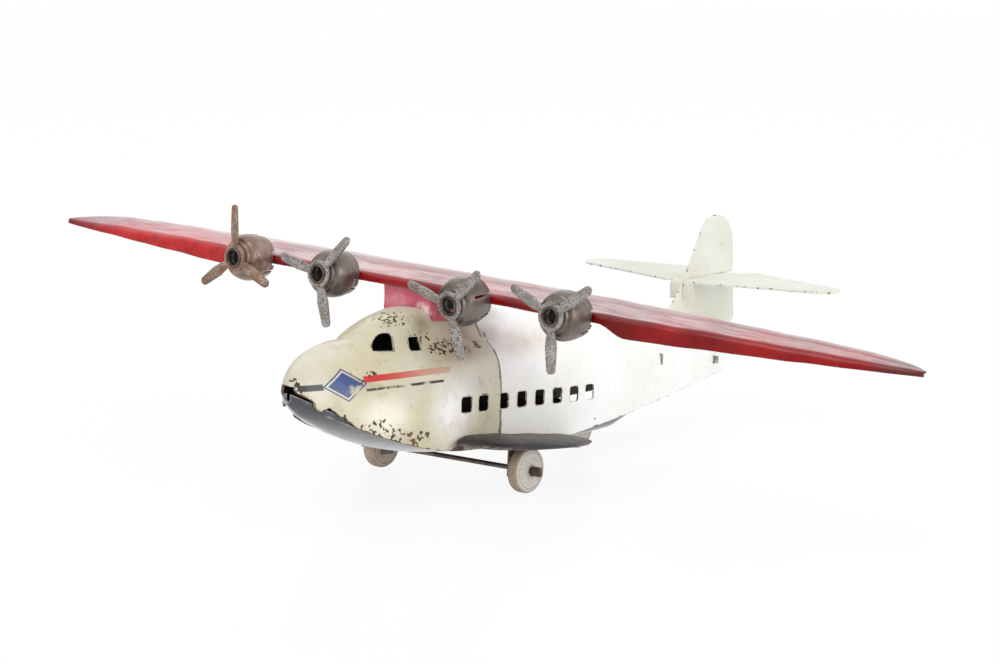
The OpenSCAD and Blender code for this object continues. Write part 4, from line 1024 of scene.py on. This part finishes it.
for place, (x, ahead, bend) in engines.items():
    matrix = engineMatrix(x, ahead, bend)
    notch = cowlEnd - engine["ahead"] - ahead + 0.3
    seed = x * 0.37

    def dented(angle, height, seed=seed):
        fade = min(1, max(0, (height - 4) / 4))
        return 1.0 - engine["dents"] * (1 + math.sin(3 * angle + seed) * math.sin(height * 0.5 + seed)) * fade

    rusty = place == "outer_starboard"
    profile = cowlProfile()
    cowl = lathed("cowlCup." + place, profile, engine["turns"], matrix,
                  [rustyCowlMetal if rusty else cowlMetal, darkMetal], dented, len(profile) // 2)
    cuts = [(angle, *engine["slitSize"]) for angle in engine["slits"]]
    if bend > 0:
        cuts.append((-engine["split"][0], engine["split"][1], 2 * (cowlEnd - engine["front"] - 3)))
    cutters = [boxCutter((0, wing["flange"] / 2 - engine["drop"], cowlEnd),
                         (engine["notch"], wing["flange"] + 1.4, 2 * notch), matrix)]
    cutters += [boxCutter((engine["cowlRadius"] - 1, 0, cowlEnd), (4, width, length), matrix @ rotated(angle, "Z"))
                for angle, width, length in cuts]
    cutWith(cowl, cutters)
    smoothed(cowl, 40)
    finishPiece(cowl, "airplane", "cowl_" + place)

    r, lip = engine["eyelet"], engine["bladeSheet"] / 2 + 0.15
    seat = engine["front"] + engine["cowlSheet"] + 0.05
    rolled = softened([(engine["bore"], -lip - 0.3), (r + 0.35, -lip - 0.3), (r + 0.5, -lip - 0.15), (r + 0.35, -lip),
                       (r, -lip), (r, seat), (r + 0.7, seat), (r + 0.7, seat + 0.35),
                       (engine["bore"], seat + 0.35)], 0.2)
    eyelet = lathed("rolledEyelet." + place, rolled, engine["eyeletTurns"], matrix, [eyeletMetal])
    smoothed(eyelet, 45)
    finishPiece(eyelet, "airplane", "eyelet_" + place)

    refined("propeller_" + place, "propeller." + place, "propeller_" + place + "_body",
            rustyBladeMetal if rusty else bladeMetal, 0.22, 30.0)
print("engines made")

# Wheels: turned wood on a wire
wheel = {"radius": 6.75, "width": 4.0, "bore": 0.83, "turns": 96}


def wheelProfile():
    r, w = wheel["radius"], wheel["width"] / 2
    outside = [(1.8, w + 0.2), (2.2, w - 0.1), (r - 1.5, w - 0.1), (r - 1.2, w), (r - 0.9, w), (r - 0.3, w - 0.35),
               (r, w - 1)]
    return softened([(wheel["bore"], -w - 0.2)] + [(a, -b) for a, b in outside] + outside[::-1]
                    + [(wheel["bore"], w + 0.2)], 0.2)


for node in ("front_wheel_port", "front_wheel_starboard", "rear_wheel"):
    low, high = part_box(node)
    middle = (low + high) / 2
    wood = turnedWood("turnedWood." + node, middle.y, middle.z,
                      paintedBounceLightWoodLook if node == "front_wheel_starboard" else woodLook)
    disc = lathed("turnedWheel." + node, wheelProfile(), wheel["turns"], moved(*middle / mm) @ rotated(90, "Y"),
                  [wood])
    smoothed(disc, 50)
    finishPiece(disc, node + "_body", node)
print("wheels made")

# Pressed rims round the windows, swept along their outlines over the shell, pale both as bare cut steel and as a
# painted highlight along the window edges
rim = {"wire": 0.16, "uneven": 0.35, "seed": 7, "sides": 8, "sunk": 0.05, "samples": 900}


def wallPoint(y, z, sideSign, lift):
    low = float(lowerEdge(np.array([y]))[0])
    angles = np.radians(np.linspace(0.05, 89.95, rim["samples"]))
    r = shellReach(angles, np.full(rim["samples"], float(y)))
    heights = low + r * np.sin(angles)
    k = int(np.argmax(heights >= z))
    return (sideSign * (r[k] * math.cos(angles[k]) + lift), y, z)


def rimTree():
    tree = bpy.data.node_groups.new("windowRims", "GeometryNodeTree")
    tree.interface.new_socket("Geometry", in_out="INPUT", socket_type="NodeSocketGeometry")
    inputs = {}
    for name, kind, value in (("Wire radius", "Float", rim["wire"] * mm), ("Unevenness", "Float", rim["uneven"]),
                              ("Sides", "Int", rim["sides"]), ("Seed", "Int", rim["seed"])):
        socket = tree.interface.new_socket(name, in_out="INPUT", socket_type="NodeSocket" + kind)
        inputs[socket.identifier] = value
    tree.interface.new_socket("Geometry", in_out="OUTPUT", socket_type="NodeSocketGeometry")
    start, toCurve, radius, least, chance, ring, sweep, realize, coat, end = (tree.nodes.new(kind) for kind in (
        "NodeGroupInput", "GeometryNodeMeshToCurve", "GeometryNodeSetCurveRadius", "ShaderNodeMath",
        "FunctionNodeRandomValue", "GeometryNodeCurvePrimitiveCircle", "GeometryNodeCurveToMesh",
        "GeometryNodeRealizeInstances", "GeometryNodeSetMaterial", "NodeGroupOutput"))
    least.operation = "SUBTRACT"
    least.inputs[0].default_value = 1.0
    chance.inputs[3].default_value = 1.0
    coat.inputs["Material"].default_value = bareRimSteelAndHighlight
    for source, output, target, entry in (
            (start, "Geometry", toCurve, 0), (toCurve, 0, radius, "Curve"), (start, "Unevenness", least, 1),
            (least, 0, chance, 2), (start, "Seed", chance, "Seed"), (chance, 1, radius, "Radius"),
            (start, "Wire radius", ring, "Radius"), (start, "Sides", ring, "Resolution"),
            (radius, 0, sweep, "Curve"), (ring, 0, sweep, "Profile Curve"), (chance, 1, sweep, "Scale"),
            (sweep, 0, realize, 0), (realize, 0, coat, "Geometry"), (coat, 0, end, 0)):
        tree.links.new(source.outputs[output], target.inputs[entry])
    return tree, inputs


rimPoints, rimEdges = [], []
for outline, lift in [(w, sheet + gap) for w in frontOpenings] + [(w, 0.0) for w in rearWindows[1:]]:
    for sideSign in (1, -1):
        first = len(rimPoints)
        rimPoints += [wallPoint(y, z, sideSign, lift - rim["sunk"]) for y, z in outline]
        rimEdges += [(first + k, first + (k + 1) % len(outline)) for k in range(len(outline))]
rims = newObject("windowRims", newMesh("windowRimLines", rimPoints, [], sitMatrix, rimEdges))
modifier = rims.modifiers.new("rims", "NODES")
modifier.node_group, rimInputs = rimTree()
for identifier, value in rimInputs.items():
    modifier[identifier] = value
evaluated(rims, "windowRims")
outwards(rims)
smoothed(rims, 80)
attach(rims, "airplane")
print("window rims made")

# A pale table that fades into a white room
stage = {
    "size": 6.0, "tableGlow": 0.9, "tableTint": (246, 248, 252), "roomTint": (0.96, 0.98, 1.0, 1), "roomLight": 0.9}
white = (1, 1, 1, 1)
brush = Brush(bpy.data.materials.new("paleTable"))
gloss = brush.node("BsdfPrincipled", {"Base Color": tone(*stage["tableTint"]),
                                      "Roughness": brush.ramp(brush.noise(40, 2), 0.3, 0.7, 0.12, 0.2)})
glow = brush.node("Emission", {"Color": white, "Strength": 1.0})
tablePaint = brush.twoLooks(gloss, glow, stage["tableGlow"], "OutputMaterial")
half = stage["size"] / 2
tableMesh = bpy.data.meshes.new("tableTop")
tableMesh.from_pydata([(-half, -half, 0), (half, -half, 0), (half, half, 0), (-half, half, 0)], [], [(0, 1, 2, 3)])
newObject("tableTop", tableMesh, [tablePaint])

brush = Brush(bpy.data.worlds.new("studio"))
dim = brush.node("Background", {"Color": stage["roomTint"], "Strength": stage["roomLight"]})
bright = brush.node("Background", {"Color": white, "Strength": 1.0})
scene.world = brush.twoLooks(dim, bright, 1.0, "OutputWorld")

# Round softboxes that face the toy: place in metres, size and power
softboxes = {"keySoftbox": ((0.1, -0.5, 1.1), 0.9, 3.4), "fillSoftbox": ((1.3, -0.1, 0.24), 0.8, 5.2),
             "rimSoftbox": ((-0.8, 0.9, 0.9), 0.8, 1.2)}
target = Vector((0, 0, 0.03))
for name, (place, size, power) in softboxes.items():
    lamp = bpy.data.lights.new(name, "AREA")
    lamp.shape = "DISK"
    lamp.size = size
    lamp.energy = power
    made = bpy.data.objects.new(name, lamp)
    made.location = place
    made.rotation_euler = (target - Vector(place)).to_track_quat("-Z", "Y").to_euler()
    scene.collection.objects.link(made)

# Camera at the photograph's place: 97 mm lens on a 36 mm wide frame
view = {"place": (517.671, -640.956, 171.752), "right": (0.77025522, 0.63773335, 0.00175465),
        "up": (-0.10216934, 0.12068349, 0.98741932), "ahead": (-0.62949847, 0.76074416, -0.15811388), "lens": 97.2}
cameraData = bpy.data.cameras.new("camera")
cameraData.lens = view["lens"]
cameraData.sensor_width = 36.0
cameraData.clip_start = 0.01
camera = bpy.data.objects.new("camera", cameraData)
turned = Matrix([view["right"], view["up"], [-a for a in view["ahead"]]]).transposed().to_4x4()
camera.matrix_world = moved(*Vector(view["place"]) * mm) @ turned
scene.collection.objects.link(camera)
scene.camera = camera
scene.view_settings.view_transform = "Standard"
print("stage, light and camera made")
